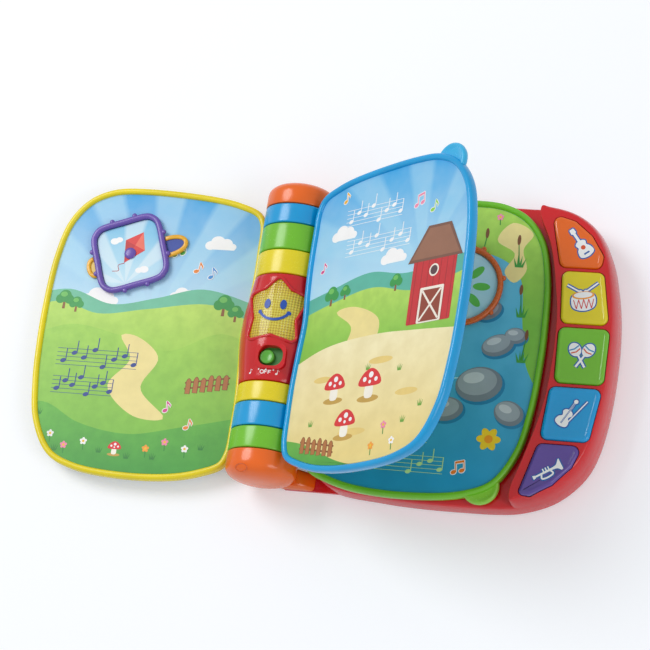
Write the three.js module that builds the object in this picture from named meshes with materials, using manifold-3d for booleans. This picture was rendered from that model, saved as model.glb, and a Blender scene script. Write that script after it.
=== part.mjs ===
// Moulded electronic sound book: three leaves turn on a barrel spine beside a base with five keys.
// Millimetres, +Z up. The model is drawn about the spine (X = 0 under its axis), then shifted so
// that the origin lies at the middle of the flat underside of the base.
import * as THREE from 'three';
import { mergeVertices } from 'three/addons/utils/BufferGeometryUtils.js';
import Module from 'manifold-3d';

const wasm = await Module();
wasm.setup();

// Clearances
const GAP = 0.3;
const SLIDE_GAP = 0.5;
const LABEL_GAP = 0.1;

// Spine
const AXIS_Z = 27;
const RING_RADIUS = 26;
const RING_WALL = 3.6;
const JOURNAL_WALL = 2.4;
const BARREL_BULGE = 4;
const BARREL_WALL = 2.4;
const BARREL_TOP = 39.6;
const BARREL_BOTTOM = -42.3;
const TOP_RINGS = [39.6, 58.6, 79.3, 94.7];
const BOTTOM_RINGS = [-42.3, -57.3, -75.8, -92.5];
const CAP_LENGTH = 20;
const CAP_WALL = 2.4;
const CAP_DOME = 11;
const FOOT_REACH = 35;
const FOOT_WIDTH = 13;
const FOOT_TOP = 15;
const TONGUE_THICKNESS = 3;
const TONGUE_START = 12.5;

// Leaves
const LEAF_OUTER = 194.7;
const LEAF_TOP = 114;
const LEAF_BOTTOM = -114;
const LEAF_INNER = 27.4;
const LEAF_THICKNESS = 8;
const LEAF_WEB = 2.4;
const LEAF_RIM = 5;
const RIM_ROUND = 1.8;
const LEAF_PITCH = 8.5;
const GREEN_OFFSET = -2.7;
const GREEN_ANGLE = 0;
const BLUE_ANGLE = 34;
const YELLOW_ANGLE = 180;
const ARM_THICKNESS = 6.8;
const TENON_THICKNESS = 4;
const TENON_REACH = 4;
const LABEL_THICKNESS = 0.3;
const TAB_RADIUS = 13.8;
const TAB_THICKNESS = 5;
const TAB_DISH = 1.4;
const BLUE_TAB = [LEAF_OUTER - 32.7, LEAF_TOP - 9.5];
const GREEN_TAB = [LEAF_OUTER - 34.7, LEAF_BOTTOM + 14];

// Base
const BANK_WIDTH = 50.2;
const BASE_OUTER = LEAF_OUTER + BANK_WIDTH;
const BASE_TOP = 112.5;
const BASE_BOTTOM = -114.8;
const BASE_INNER = 30.5;
const DECK_Z = 19.5;
const SPLIT_Z = 8;
const BASE_WALL = 2.2;
const BANK_Z = 34;
const BANK_ROUND = 4.6;

// Keys
const KEY_TOP_Z = 36;
const KEY_CORNER = 5;
const KEY_FLANGE = 1.2;
const FLANGE_THICKNESS = 1.5;
const KEY_TRAVEL = 2.5;

// Star window and switch
const STAR_CORNER = 3;
const SLOT = { left: -7, right: 11.5, bottom: -32, top: -17 };
const SLOT_FLOOR = 22.6;
const KNOB_RADIUS = 5.4;
const KNOB_TOP = 25.6;
const KNOB_X = -1.2;
const KNOB_TRAVEL = 6.8;

// Tambourines
const SQUARE_CENTRE = [LEAF_OUTER - 62.9, 60.5];
const SQUARE_SIZE = 57;
const SQUARE_TURN = 20;
const SQUARE_BAND = 4.5;
const ROUND_CENTRE = [LEAF_OUTER - 66.7, 47];
const ROUND_RADIUS = 31;
const ROUND_BAND = 4.2;
const TAMBOURINE_HEIGHT = 4.4;
const STUD_RADIUS = 1.9;
const PIN_RADIUS = 2.6;

// Things inside
const BATTERY_RADIUS = 7.25;
const BATTERY_LENGTH = 50.5;
const BATTERY_X = 62;
const BATTERY_Y = -58;
const SPEAKER_RADIUS = 20;
const SPEAKER_X = 150;
const SPEAKER_Y = 52;
const BOARD_THICKNESS = 1.6;
const SCREW_RADIUS = 1.4;
const SCREW_HEAD = 3;
const SCREW_HEAD_HEIGHT = 2;

const COLOURS = {
  red: 0xd7282d,
  orange: 0xf07d28,
  yellow: 0xe6d73c,
  green: 0x8cc846,
  blue: 0x00afe1,
  purple: 0x7d64b4,
  brown: 0xc85523,
};

// Loops are arrays of Vector2, counter-clockwise seen from above

function smoothLoop(points, count) {
  const curve = new THREE.CatmullRomCurve3(
    points.map(([x, y]) => new THREE.Vector3(x, y, 0)), true, 'centripetal');
  const loop = curve.getSpacedPoints(count).slice(0, count).map((p) => new THREE.Vector2(p.x, p.y));
  return THREE.ShapeUtils.area(loop) < 0 ? loop.reverse() : loop;
}

function roundedLoop(points, radius, steps = 3) {
  const corners = points.map(([x, y]) => new THREE.Vector2(x, y));
  const loop = corners.flatMap((corner, i) => {
    const back = corners[(i + corners.length - 1) % corners.length].clone().sub(corner);
    const ahead = corners[(i + 1) % corners.length].clone().sub(corner);
    const room = Math.min(back.length(), ahead.length()) / 2.2;
    const halfAngle = Math.acos(back.dot(ahead) / back.length() / ahead.length()) / 2;
    const bend = Math.min(radius, room * Math.tan(halfAngle));
    const middle = back.clone().normalize().add(ahead.clone().normalize())
      .setLength(bend / Math.sin(halfAngle)).add(corner);
    const start = back.setLength(bend / Math.tan(halfAngle)).add(corner);
    const end = ahead.setLength(bend / Math.tan(halfAngle)).add(corner);
    const side = Math.sign(start.clone().sub(middle).cross(end.sub(middle)));
    const sweep = (Math.PI - 2 * halfAngle) * side;
    return Array.from({ length: steps + 1 }, (_, k) => start.clone()
      .rotateAround(middle, (sweep * k) / steps));
  });
  return THREE.ShapeUtils.area(loop) < 0 ? loop.reverse() : loop;
}

function circleLoop(x, y, radius, count) {
  return Array.from({ length: count }, (_, i) => {
    const turn = (i / count) * 2 * Math.PI;
    return new THREE.Vector2(x + radius * Math.cos(turn), y + radius * Math.sin(turn));
  });
}

// The loop moved inwards by a distance, or outwards by a negative one
function inset(loop, distance) {
  return loop.map((point, i) => {
    const before = loop[(i + loop.length - 1) % loop.length];
    const after = loop[(i + 1) % loop.length];
    const along = after.clone().sub(before).normalize();
    return new THREE.Vector2(point.x - along.y * distance, point.y + along.x * distance);
  });
}

// A closed solid through loops of equal length, from the lowest up
function stack(layers) {
  const count = layers[0][0].length;
  const positions = layers.flatMap(([loop, z]) => loop.flatMap((p) => [p.x, p.y, z]));
  const faces = [];
  layers.slice(1).forEach((_, k) => {
    for (let i = 0; i < count; i += 1) {
      const next = (i + 1) % count;
      const low = k * count;
      const high = low + count;
      faces.push(low + i, low + next, high + next, low + i, high + next, high + i);
    }
  });
  const last = (layers.length - 1) * count;
  THREE.ShapeUtils.triangulateShape(layers[0][0], []).forEach(([a, b, c]) => faces.push(a, c, b));
  THREE.ShapeUtils.triangulateShape(layers.at(-1)[0], []).forEach(([a, b, c]) => {
    faces.push(last + a, last + b, last + c);
  });
  const geometry = new THREE.BufferGeometry();
  geometry.setAttribute('position', new THREE.Float32BufferAttribute(positions, 3));
  geometry.setIndex(faces);
  return solid(geometry);
}

function slab(loop, low, high) {
  return stack([[loop, low], [loop, high]]);
}

function solid(geometry) {
  const bare = geometry.clone();
  bare.deleteAttribute('normal');
  bare.deleteAttribute('uv');
  const merged = mergeVertices(bare, 1e-3);
  const index = Array.from(merged.index.array);
  const kept = [];
  for (let i = 0; i < index.length; i += 3) {
    const [a, b, c] = index.slice(i, i + 3);
    if (a !== b && b !== c && c !== a) kept.push(a, b, c);
  }
  return new wasm.Manifold(new wasm.Mesh({
    numProp: 3,
    vertProperties: new Float32Array(merged.attributes.position.array),
    triVerts: new Uint32Array(kept),
  }));
}

function revolve(profile, segments) {
  const points = profile.map(([r, y]) => new THREE.Vector2(r, y));
  const ordered = THREE.ShapeUtils.area(points) < 0 ? points.reverse() : points;
  return solid(new THREE.LatheGeometry([...ordered, ordered[0]], segments));
}

function rod(radius, low, high, x, y, segments = 20) {
  return slab(circleLoop(x, y, radius, segments), low, high);
}

function block(left, right, back, front, low, high) {
  return slab([[left, back], [right, back], [right, front], [left, front]]
    .map(([x, y]) => new THREE.Vector2(x, y)), low, high);
}

function geometryOf(shape) {
  const { numProp, vertProperties, triVerts } = shape.getMesh();
  const positions = new Float32Array((vertProperties.length / numProp) * 3);
  for (let i = 0; i < positions.length / 3; i += 1) {
    positions.set(vertProperties.subarray(i * numProp, i * numProp + 3), i * 3);
  }
  const geometry = new THREE.BufferGeometry();
  geometry.setAttribute('position', new THREE.BufferAttribute(positions, 3));
  geometry.setIndex(new THREE.BufferAttribute(new Uint32Array(triVerts), 1));
  const flat = geometry.toNonIndexed();
  flat.computeVertexNormals();
  return flat;
}

function add(group, name, shape, colour, roughness = 0.35, metalness = 0) {
  const material = new THREE.MeshStandardMaterial({ color: colour, roughness, metalness });
  const mesh = new THREE.Mesh(geometryOf(shape), material);
  mesh.name = name;
  group.add(mesh);
}

const group = new THREE.Group();
const model = new THREE.Group();
model.position.x = -(BASE_INNER + BASE_OUTER) / 2;
group.add(model);
const spine = new THREE.Group();
spine.position.z = AXIS_Z;
model.add(spine);

// Spine housing: two half shells with journals for the leaf rings and a bulged barrel

const JOURNAL_RADIUS = RING_RADIUS - RING_WALL - GAP;
const SPINE_LOW = BOTTOM_RINGS.at(-1) + GAP;
const SPINE_HIGH = TOP_RINGS.at(-1) - GAP;

function barrelRadius(y) {
  const along = (y - BARREL_BOTTOM) / (BARREL_TOP - BARREL_BOTTOM);
  return RING_RADIUS + BARREL_BULGE * Math.sin(Math.PI * along) ** 1.3;
}

function barrelLine(depth, ends) {
  const steps = 6;
  return Array.from({ length: steps + 1 }, (_, i) => {
    const y = BARREL_BOTTOM + ends + ((BARREL_TOP - BARREL_BOTTOM - 2 * ends) * i) / steps;
    return [barrelRadius(y) - depth, y];
  });
}

const SPINE_SEGMENTS = 24;
const outerLine = [
  [JOURNAL_RADIUS, SPINE_LOW],
  [JOURNAL_RADIUS, BARREL_BOTTOM + GAP],
  ...barrelLine(0, GAP),
  [JOURNAL_RADIUS, BARREL_TOP - GAP],
  [JOURNAL_RADIUS, SPINE_HIGH],
];
const innerRadius = JOURNAL_RADIUS - JOURNAL_WALL;
const innerLine = [
  [innerRadius, SPINE_LOW],
  [innerRadius, BARREL_BOTTOM + BARREL_WALL + GAP],
  ...barrelLine(BARREL_WALL, BARREL_WALL + GAP),
  [innerRadius, BARREL_TOP - BARREL_WALL - GAP],
  [innerRadius, SPINE_HIGH],
];
const barrelSolid = revolve([[0, SPINE_LOW], ...outerLine, [0, SPINE_HIGH]], SPINE_SEGMENTS);
const spineShell = revolve([...outerLine, ...innerLine.reverse()], SPINE_SEGMENTS);

const STAR = [[0, 36], [9.5, 26.5], [21.5, 23], [15.5, 4], [18, -12.5], [0, -8.5],
  [-18, -12.5], [-15.5, 4], [-21.5, 23], [-9.5, 26.5]];
const starLoop = roundedLoop(STAR, STAR_CORNER);
const starPrism = slab(starLoop, SLOT_FLOOR / 2, RING_RADIUS + BARREL_BULGE + 5);
const lensPrism = slab(inset(starLoop, GAP), SLOT_FLOOR / 2, RING_RADIUS + BARREL_BULGE + 5);
const lensShell = revolve([...barrelLine(0.4, 2), ...barrelLine(BARREL_WALL, 2).reverse()],
  SPINE_SEGMENTS);

const slotBoss = block(SLOT.left - 2, SLOT.right + 2, SLOT.bottom - 2, SLOT.top + 2,
  SLOT_FLOOR + GAP, RING_RADIUS + BARREL_BULGE).intersect(barrelSolid);
const slotLoop = roundedLoop([[SLOT.left, SLOT.bottom], [SLOT.right, SLOT.bottom],
  [SLOT.right, SLOT.top], [SLOT.left, SLOT.top]], 5);
const slotCut = slab(slotLoop, SLOT_FLOOR - 1, RING_RADIUS + BARREL_BULGE + 5);

const SPINE_SCREW_Y = [BARREL_BOTTOM - 24, BARREL_TOP + 30];
const upperHalf = block(-60, 60, SPINE_LOW - 10, SPINE_HIGH + 10, GAP / 2, 60);
const lowerHalf = block(-60, 60, SPINE_LOW - 10, SPINE_HIGH + 10, -60, -GAP / 2);
const SPINE_SEAT = 11.6;
const SPINE_POST = 3.6;
const LAMP_BOARD = { halfWidth: 15, low: BARREL_BOTTOM + 7, high: BARREL_TOP - 13 };

let upperSpine = spineShell.intersect(upperHalf).add(slotBoss).subtract(slotCut).subtract(starPrism);
let lowerSpine = spineShell.intersect(lowerHalf);
SPINE_SCREW_Y.forEach((y) => {
  upperSpine = upperSpine
    .add(rod(SPINE_POST, GAP / 2, RING_RADIUS, 0, y, 8).intersect(barrelSolid))
    .subtract(rod(SCREW_RADIUS + GAP, -5, 12, 0, y, 8));
  lowerSpine = lowerSpine
    .add(rod(SPINE_POST + 1, -RING_RADIUS, -GAP / 2, 0, y, 8).intersect(barrelSolid))
    .subtract(rod(SCREW_RADIUS + GAP, -30, 5, 0, y, 8))
    .subtract(rod(SCREW_HEAD + GAP, -40, -14, 0, y, 8));
});
[[-10, -8], [10, -8], [-10, 10], [10, 10]].forEach(([x, y]) => {
  lowerSpine = lowerSpine
    .add(rod(2.2, -RING_RADIUS, SPINE_SEAT, x, y, 8).intersect(barrelSolid));
});

add(spine, 'spine_upper_shell', upperSpine, COLOURS.red);
add(spine, 'spine_lower_shell', lowerSpine, COLOURS.red);
add(spine, 'star_lens', lensShell.intersect(lensPrism), 0xf5d24b, 0.2);

// Lamp board and slide switch inside the barrel

const boardHigh = SPINE_SEAT + GAP + BOARD_THICKNESS;
const lampBoard = block(-LAMP_BOARD.halfWidth, LAMP_BOARD.halfWidth, LAMP_BOARD.low, LAMP_BOARD.high,
  SPINE_SEAT + GAP, boardHigh);
add(spine, 'lamp_board', lampBoard, 0x2f7d4a, 0.6);
const lamp = revolve([[0, 0], [2.9, 0], [2.9, 1], [2.5, 1], [2.5, 3.5], [1.8, 5], [0, 5.6]], 14);
const lampAt = new THREE.Matrix4().makeRotationX(Math.PI / 2)
  .setPosition(0, 12, boardHigh + GAP);
add(spine, 'lamp', lamp.transform(lampAt.toArray()), 0xfff2c0, 0.2);

const slotX = (SLOT.left + SLOT.right) / 2;
const slotY = (SLOT.bottom + SLOT.top) / 2;
const plateLow = SLOT_FLOOR - 1.5;
const plate = block(SLOT.left - 2, SLOT.right + 2, SLOT.bottom - 2, SLOT.top + 2, plateLow, SLOT_FLOOR);
const stemRadius = 1.5;
const stemCut = block(KNOB_X - stemRadius - GAP, KNOB_X + KNOB_TRAVEL + stemRadius + GAP,
  slotY - stemRadius - GAP, slotY + stemRadius + GAP, 0, 40);
add(spine, 'switch_plate', plate.intersect(revolve([[0, SPINE_LOW],
  [RING_RADIUS - BARREL_WALL - GAP, SPINE_LOW], [RING_RADIUS - BARREL_WALL - GAP, SPINE_HIGH],
  [0, SPINE_HIGH]], SPINE_SEGMENTS)).subtract(stemCut), 0x5fa03c);
const switchHigh = plateLow - GAP;
const switchStemLow = switchHigh - 3;
const switchBody = block(slotX - 9, slotX + 9, slotY - 4.5, slotY + 4.5, boardHigh + GAP, switchHigh)
  .subtract(stemCut.subtract(block(-40, 40, -60, 60, -1, switchStemLow - GAP)));
add(spine, 'slide_switch', switchBody, 0x3a3d42, 0.5, 0.3);
const knobTop = revolve([[0, 0], [KNOB_RADIUS, 0], [KNOB_RADIUS, KNOB_TOP - SLOT_FLOOR - 1.4],
  [KNOB_RADIUS - 1.2, KNOB_TOP - SLOT_FLOOR - GAP], [0, KNOB_TOP - SLOT_FLOOR - GAP]], 24);
const knobAt = new THREE.Matrix4().makeRotationX(Math.PI / 2)
  .setPosition(KNOB_X, slotY, SLOT_FLOOR + GAP);
const knobStem = block(KNOB_X - stemRadius, KNOB_X + stemRadius, slotY - stemRadius,
  slotY + stemRadius, switchStemLow, SLOT_FLOOR + 1);
add(spine, 'switch_knob', knobTop.transform(knobAt.toArray()).add(knobStem), 0x7dbe46);

// End caps with a foot each, which stands on a tongue of the base

function capShell(end, side) {
  const at = (distance) => end + side * distance;
  const dome = CAP_LENGTH - CAP_DOME;
  const line = [[RING_RADIUS, at(GAP)], [RING_RADIUS, at(dome)],
    [RING_RADIUS - 1, at(dome + 4)], [RING_RADIUS - 3.6, at(dome + 7.2)],
    [RING_RADIUS - 8.5, at(dome + 9.8)], [RING_RADIUS - 15, at(CAP_LENGTH)], [0, at(CAP_LENGTH + 0.6)]];
  const hollow = line.slice(0, 6).map(([r]) => r - CAP_WALL);
  const inner = [[hollow[0], at(-1)], [hollow[1], at(dome)], [hollow[2] - 0.6, at(dome + 3)],
    [hollow[3] - 1, at(dome + 5.2)], [hollow[4], at(dome + 7.4)], [0, at(CAP_LENGTH - CAP_WALL)]];
  const footBack = end + side * (CAP_LENGTH / 2 - FOOT_WIDTH / 2);
  const footFront = footBack + side * FOOT_WIDTH;
  const foot = block(TONGUE_START - 4, FOOT_REACH, Math.min(footBack, footFront),
    Math.max(footBack, footFront), TONGUE_THICKNESS + GAP - AXIS_Z, FOOT_TOP - AXIS_Z);
  const wedge = stack([
    [roundedLoop([[TONGUE_START - 4, footBack], [FOOT_REACH, footBack], [FOOT_REACH, footFront],
      [TONGUE_START - 4, footFront]], 3), TONGUE_THICKNESS + GAP - AXIS_Z],
    [roundedLoop([[TONGUE_START - 4, footBack], [FOOT_REACH - 9, footBack],
      [FOOT_REACH - 9, footFront], [TONGUE_START - 4, footFront]], 3), FOOT_TOP - AXIS_Z],
  ]);
  const shell = revolve([[0, at(GAP)], ...line], SPINE_SEGMENTS)
    .add(wedge.intersect(foot))
    .subtract(revolve([[0, at(-1)], ...inner], SPINE_SEGMENTS));
  const screwY = (footBack + footFront) / 2;
  return shell.subtract(rod(SCREW_RADIUS + GAP, -AXIS_Z, FOOT_TOP - 4 - AXIS_Z, FOOT_SCREW_X, screwY, 10));
}

const FOOT_SCREW_X = 26;
const dimple = new THREE.SphereGeometry(1, 10, 6).scale(5, 2.6, 3)
  .translate(-8, BOTTOM_RINGS.at(-1) - CAP_LENGTH + 5, 21);
add(spine, 'top_cap', capShell(TOP_RINGS.at(-1), 1), COLOURS.orange);
add(spine, 'bottom_cap', capShell(BOTTOM_RINGS.at(-1), -1).subtract(solid(dimple)), COLOURS.orange);

// Leaves: a moulding with a raised rim and a web between two pages, and two rings that carry it

const LEAF_SAMPLES = 44;
const leafLoop = smoothLoop([
  [LEAF_INNER + 3.5, 2], [LEAF_INNER + 1.6, 24], [LEAF_INNER + 0.4, 45],
  [LEAF_INNER + 0.6, 70], [LEAF_INNER + 1.6, LEAF_TOP - 24], [LEAF_INNER + 7, LEAF_TOP - 14.5],
  [LEAF_INNER + 22, LEAF_TOP - 8], [LEAF_INNER + 44, LEAF_TOP - 3.6],
  [LEAF_OUTER - 66, LEAF_TOP], [LEAF_OUTER - 41, LEAF_TOP - 2.2], [LEAF_OUTER - 22.7, LEAF_TOP - 11.2],
  [LEAF_OUTER - 9.2, LEAF_TOP - 29], [LEAF_OUTER - 2.4, LEAF_TOP - 56], [LEAF_OUTER, 17],
  [LEAF_OUTER - 0.5, -14], [LEAF_OUTER - 2.8, LEAF_BOTTOM + 70], [LEAF_OUTER - 9.1, LEAF_BOTTOM + 39],
  [LEAF_OUTER - 24.4, LEAF_BOTTOM + 14.2], [LEAF_OUTER - 46, LEAF_BOTTOM + 4.3],
  [LEAF_OUTER - 86, LEAF_BOTTOM], [LEAF_INNER + 44, LEAF_BOTTOM + 1.8],
  [LEAF_INNER + 22, LEAF_BOTTOM + 7], [LEAF_INNER + 6, LEAF_BOTTOM + 14.5],
  [LEAF_INNER + 1.2, LEAF_BOTTOM + 25], [LEAF_INNER + 0.2, -68], [LEAF_INNER, -50],
  [LEAF_INNER + 1.4, -24],
], LEAF_SAMPLES);
const pageLoop = inset(leafLoop, LEAF_RIM);
const labelLoop = inset(leafLoop, LEAF_RIM + GAP);
const WEB_FACE = LEAF_WEB / 2;
const HALF_LEAF = LEAF_THICKNESS / 2;

function fingerTab([x, y]) {
  const dish = revolve([[0, -TAB_THICKNESS / 2], [TAB_RADIUS - 0.6, -TAB_THICKNESS / 2],
    [TAB_RADIUS, 0], [TAB_RADIUS - 0.8, TAB_THICKNESS / 2], [TAB_RADIUS - 2.6, TAB_THICKNESS / 2],
    [TAB_RADIUS - 4, TAB_THICKNESS / 2 - TAB_DISH], [0, TAB_THICKNESS / 2 - TAB_DISH]], 24);
  return dish.transform(new THREE.Matrix4().makeRotationX(Math.PI / 2).setPosition(x, y, 0).toArray());
}

// The tongue of a ring's arm, which sits in a socket in the leaf's rim
function tenon(from, to, offset, clearance) {
  const low = Math.min(from, to) + 2.2 - clearance;
  const high = Math.max(from, to) - 2.2 + clearance;
  return block(LEAF_INNER - 3, LEAF_INNER + TENON_REACH + clearance, low, high,
    offset - TENON_THICKNESS / 2 - clearance, offset + TENON_THICKNESS / 2 + clearance);
}

function ring(from, to, offset) {
  const low = Math.min(from, to) + GAP;
  const high = Math.max(from, to) - GAP;
  const collar = revolve([[RING_RADIUS, low], [RING_RADIUS, high], [0, high], [0, low]], SPINE_SEGMENTS);
  const bore = revolve([[RING_RADIUS - RING_WALL, low - 1], [RING_RADIUS - RING_WALL, high + 1],
    [0, high + 1], [0, low - 1]], SPINE_SEGMENTS);
  const beside = slab(inset(leafLoop, -GAP), offset - LEAF_THICKNESS, offset + LEAF_THICKNESS);
  const arm = block(LEAF_INNER - 12, LEAF_INNER + TENON_REACH, low + 0.6, high - 0.6,
    offset - ARM_THICKNESS / 2, offset + ARM_THICKNESS / 2).subtract(beside);
  return collar.add(arm).add(tenon(from, to, offset, 0)).subtract(bore);
}

function leafSolid(offset, rings, tab) {
  let leaf = stack([
    [inset(leafLoop, RIM_ROUND), -HALF_LEAF], [leafLoop, -HALF_LEAF + RIM_ROUND],
    [leafLoop, HALF_LEAF - RIM_ROUND], [inset(leafLoop, RIM_ROUND), HALF_LEAF],
  ]);
  if (tab) leaf = leaf.add(fingerTab(tab));
  const web = slab(pageLoop, -WEB_FACE, WEB_FACE);
  const recess = stack([[pageLoop, -HALF_LEAF - 1], [pageLoop, HALF_LEAF + 1]]).subtract(web);
  leaf = leaf.subtract(recess).translate(0, 0, offset);
  rings.forEach(([from, to]) => {
    leaf = leaf.subtract(tenon(from, to, offset, GAP));
  });
  return leaf;
}

function leafGroup(angle) {
  const turned = new THREE.Group();
  turned.rotation.y = -THREE.MathUtils.degToRad(angle);
  spine.add(turned);
  return turned;
}

const greenOffset = GREEN_OFFSET;
const blueOffset = GREEN_OFFSET + LEAF_PITCH;
const yellowOffset = GREEN_OFFSET + 2 * LEAF_PITCH;
const labelFace = WEB_FACE + LABEL_GAP;
const labelTop = labelFace + LABEL_THICKNESS;

// A page label on one side of a leaf: side 1 is the face that looks up when the leaf is closed
function label(offset, side, hole) {
  const low = offset + (side > 0 ? labelFace : -labelTop);
  const sheet = slab(labelLoop, low, low + LABEL_THICKNESS);
  return hole ? sheet.subtract(rod(PIN_RADIUS + SLIDE_GAP, low - 1, low + 2, hole[0], hole[1], 12)) : sheet;
}

// The socket for a tambourine's pivot pin, in the web
function pinSocket([x, y], offset, side) {
  const ends = [offset + side * (WEB_FACE + 1), offset - side * (WEB_FACE - 0.7)];
  return rod(PIN_RADIUS + GAP, Math.min(...ends), Math.max(...ends), x, y, 12);
}

const green = leafGroup(GREEN_ANGLE);
const blue = leafGroup(BLUE_ANGLE);
const yellow = leafGroup(YELLOW_ANGLE);
const greenRings = [[TOP_RINGS[1], TOP_RINGS[2]], [BOTTOM_RINGS[2], BOTTOM_RINGS[3]]];
const blueRings = [[TOP_RINGS[2], TOP_RINGS[3]], [BOTTOM_RINGS[1], BOTTOM_RINGS[2]]];
const yellowRings = [[TOP_RINGS[0], TOP_RINGS[1]], [BOTTOM_RINGS[0], BOTTOM_RINGS[1]]];

add(green, 'green_leaf', leafSolid(greenOffset, greenRings, GREEN_TAB)
  .subtract(pinSocket(ROUND_CENTRE, greenOffset, 1)), COLOURS.green);
[['green', green, greenRings, greenOffset], ['blue', blue, blueRings, blueOffset],
  ['yellow', yellow, yellowRings, yellowOffset]].forEach(([name, parent, rings, offset]) => {
  rings.forEach(([from, to], i) => {
    add(parent, `${name}_ring_${i === 0 ? 'upper' : 'lower'}`, ring(from, to, offset), COLOURS[name]);
  });
});
add(green, 'green_page_front', label(greenOffset, 1, ROUND_CENTRE), 0x4fb9dc, 0.45);
add(green, 'green_page_back', label(greenOffset, -1), 0xcfe6a0, 0.45);
add(blue, 'blue_leaf', leafSolid(blueOffset, blueRings, BLUE_TAB), COLOURS.blue);
add(blue, 'blue_page_front', label(blueOffset, 1), 0xf3e6a8, 0.45);
add(blue, 'blue_page_back', label(blueOffset, -1), 0x9fd8ee, 0.45);
add(yellow, 'yellow_leaf', leafSolid(yellowOffset, yellowRings)
  .subtract(pinSocket(SQUARE_CENTRE, yellowOffset, -1)), COLOURS.yellow);
add(yellow, 'yellow_page_inside', label(yellowOffset, -1, SQUARE_CENTRE), 0x8fc95a, 0.45);
add(yellow, 'yellow_page_cover', label(yellowOffset, 1), 0xf2a53c, 0.45);

// Tambourines: each a band around a disc, turning on a pin pressed into the leaf's web

const DISC_THICKNESS = 1.4;
const discLow = labelTop + GAP;
const discHigh = discLow + DISC_THICKNESS;
const bandHigh = discLow + TAMBOURINE_HEIGHT;
const GRIP_THICKNESS = 2.2;

function pin([x, y]) {
  const head = rod(PIN_RADIUS + 2, discHigh + GAP, discHigh + GAP + 0.9, x, y, 12);
  return rod(PIN_RADIUS, -WEB_FACE + 1, discHigh + GAP + 0.4, x, y, 12).add(head);
}

function spinDisc(loop, [x, y]) {
  return slab(loop, discLow, discHigh).subtract(rod(PIN_RADIUS + GAP, 0, 9, x, y, 12));
}

function bandWithStuds(outer, inner, studs) {
  let band = stack([[inset(outer, 0.7), discLow], [outer, discLow + 0.8], [outer, bandHigh - 1.2],
    [inset(outer, 1), bandHigh]]).subtract(slab(inner, discLow - 1, bandHigh + 1));
  studs.forEach(([x, y]) => {
    band = band.add(rod(STUD_RADIUS, discLow + GRIP_THICKNESS + GAP, bandHigh - 0.6, x, y, 8));
  });
  return band;
}

// Moves what is drawn on the closed-up side of a leaf to either of its faces
function onFace(shape, offset, side) {
  return (side > 0 ? shape : shape.mirror([0, 0, 1])).translate(0, 0, offset);
}

const roundOuter = circleLoop(...ROUND_CENTRE, ROUND_RADIUS, 28);
const roundInner = circleLoop(...ROUND_CENTRE, ROUND_RADIUS - ROUND_BAND, 28);
const roundStuds = Array.from({ length: 7 }, (_, i) => {
  const turn = ((i + 0.25) / 7) * 2 * Math.PI;
  return [ROUND_CENTRE[0] + (ROUND_RADIUS + 0.4) * Math.cos(turn),
    ROUND_CENTRE[1] + (ROUND_RADIUS + 0.4) * Math.sin(turn)];
});
const roundDisc = spinDisc(circleLoop(...ROUND_CENTRE, ROUND_RADIUS - ROUND_BAND - GAP, 28), ROUND_CENTRE);
add(green, 'round_tambourine_band', onFace(bandWithStuds(roundOuter, roundInner, roundStuds),
  greenOffset, 1), COLOURS.brown);
add(green, 'round_tambourine_disc', onFace(roundDisc, greenOffset, 1), 0x8fb4c4);
add(green, 'round_tambourine_pin', onFace(pin(ROUND_CENTRE), greenOffset, 1), COLOURS.brown);

// The square one is drawn in the leaf's own axes; half a turn about the spine brings it into view
const squareTurn = THREE.MathUtils.degToRad(-SQUARE_TURN);

function turnedSquare(x, y) {
  const across = x * Math.cos(squareTurn) - y * Math.sin(squareTurn);
  const up = x * Math.sin(squareTurn) + y * Math.cos(squareTurn);
  return [SQUARE_CENTRE[0] + across, SQUARE_CENTRE[1] + up];
}

const half = SQUARE_SIZE / 2;
const squareOuter = smoothLoop([[half, 0], [half - 0.8, half - 9], [half - 4, half - 4],
  [half - 9, half - 0.8], [0, half], [9 - half, half - 0.8], [4 - half, half - 4],
  [0.8 - half, half - 9], [-half, 0], [0.8 - half, 9 - half], [4 - half, 4 - half],
  [9 - half, 0.8 - half], [0, -half], [half - 9, 0.8 - half], [half - 4, 4 - half],
  [half - 0.8, 9 - half]].map(([x, y]) => turnedSquare(x, y)), 32);
const squareStuds = [-1, 1].flatMap((side) => [[side * 9, half + 0.2], [side * 9, -half - 0.2],
  [half + 0.2, side * 9], [-half - 0.2, side * 9]]).map(([x, y]) => turnedSquare(x, y));
const squareInner = inset(squareOuter, SQUARE_BAND);
const squareDisc = spinDisc(inset(squareOuter, SQUARE_BAND + GAP), SQUARE_CENTRE);
add(yellow, 'square_tambourine_band', onFace(bandWithStuds(squareOuter, squareInner, squareStuds),
  yellowOffset, -1), COLOURS.purple);
add(yellow, 'square_tambourine_disc', onFace(squareDisc, yellowOffset, -1), 0x96cdeb);
add(yellow, 'square_tambourine_pin', onFace(pin(SQUARE_CENTRE), yellowOffset, -1), COLOURS.purple);

// Two looped grips beside the square tambourine
const GRIP_SHIFT = -3;
const GRIP_HALF_WIDTH = 8.5;
[['near', -1, 45.5], ['far', 1, 35.5]].forEach(([name, side, reach]) => {
  const outline = smoothLoop([[half - 10, GRIP_HALF_WIDTH], [reach - 8, GRIP_HALF_WIDTH],
    [reach - 2, GRIP_HALF_WIDTH - 3.5], [reach, 0], [reach - 2, 3.5 - GRIP_HALF_WIDTH],
    [reach - 8, -GRIP_HALF_WIDTH], [half - 10, -GRIP_HALF_WIDTH]]
    .map(([x, y]) => turnedSquare(side * x, y + GRIP_SHIFT)), 26);
  const loop = slab(outline, discLow, discLow + GRIP_THICKNESS)
    .subtract(slab(inset(squareOuter, -GAP), discLow - 1, bandHigh));
  add(yellow, `square_tambourine_grip_${name}`, onFace(loop, yellowOffset, -1), 0xf0b93c);
});

// Base

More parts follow.
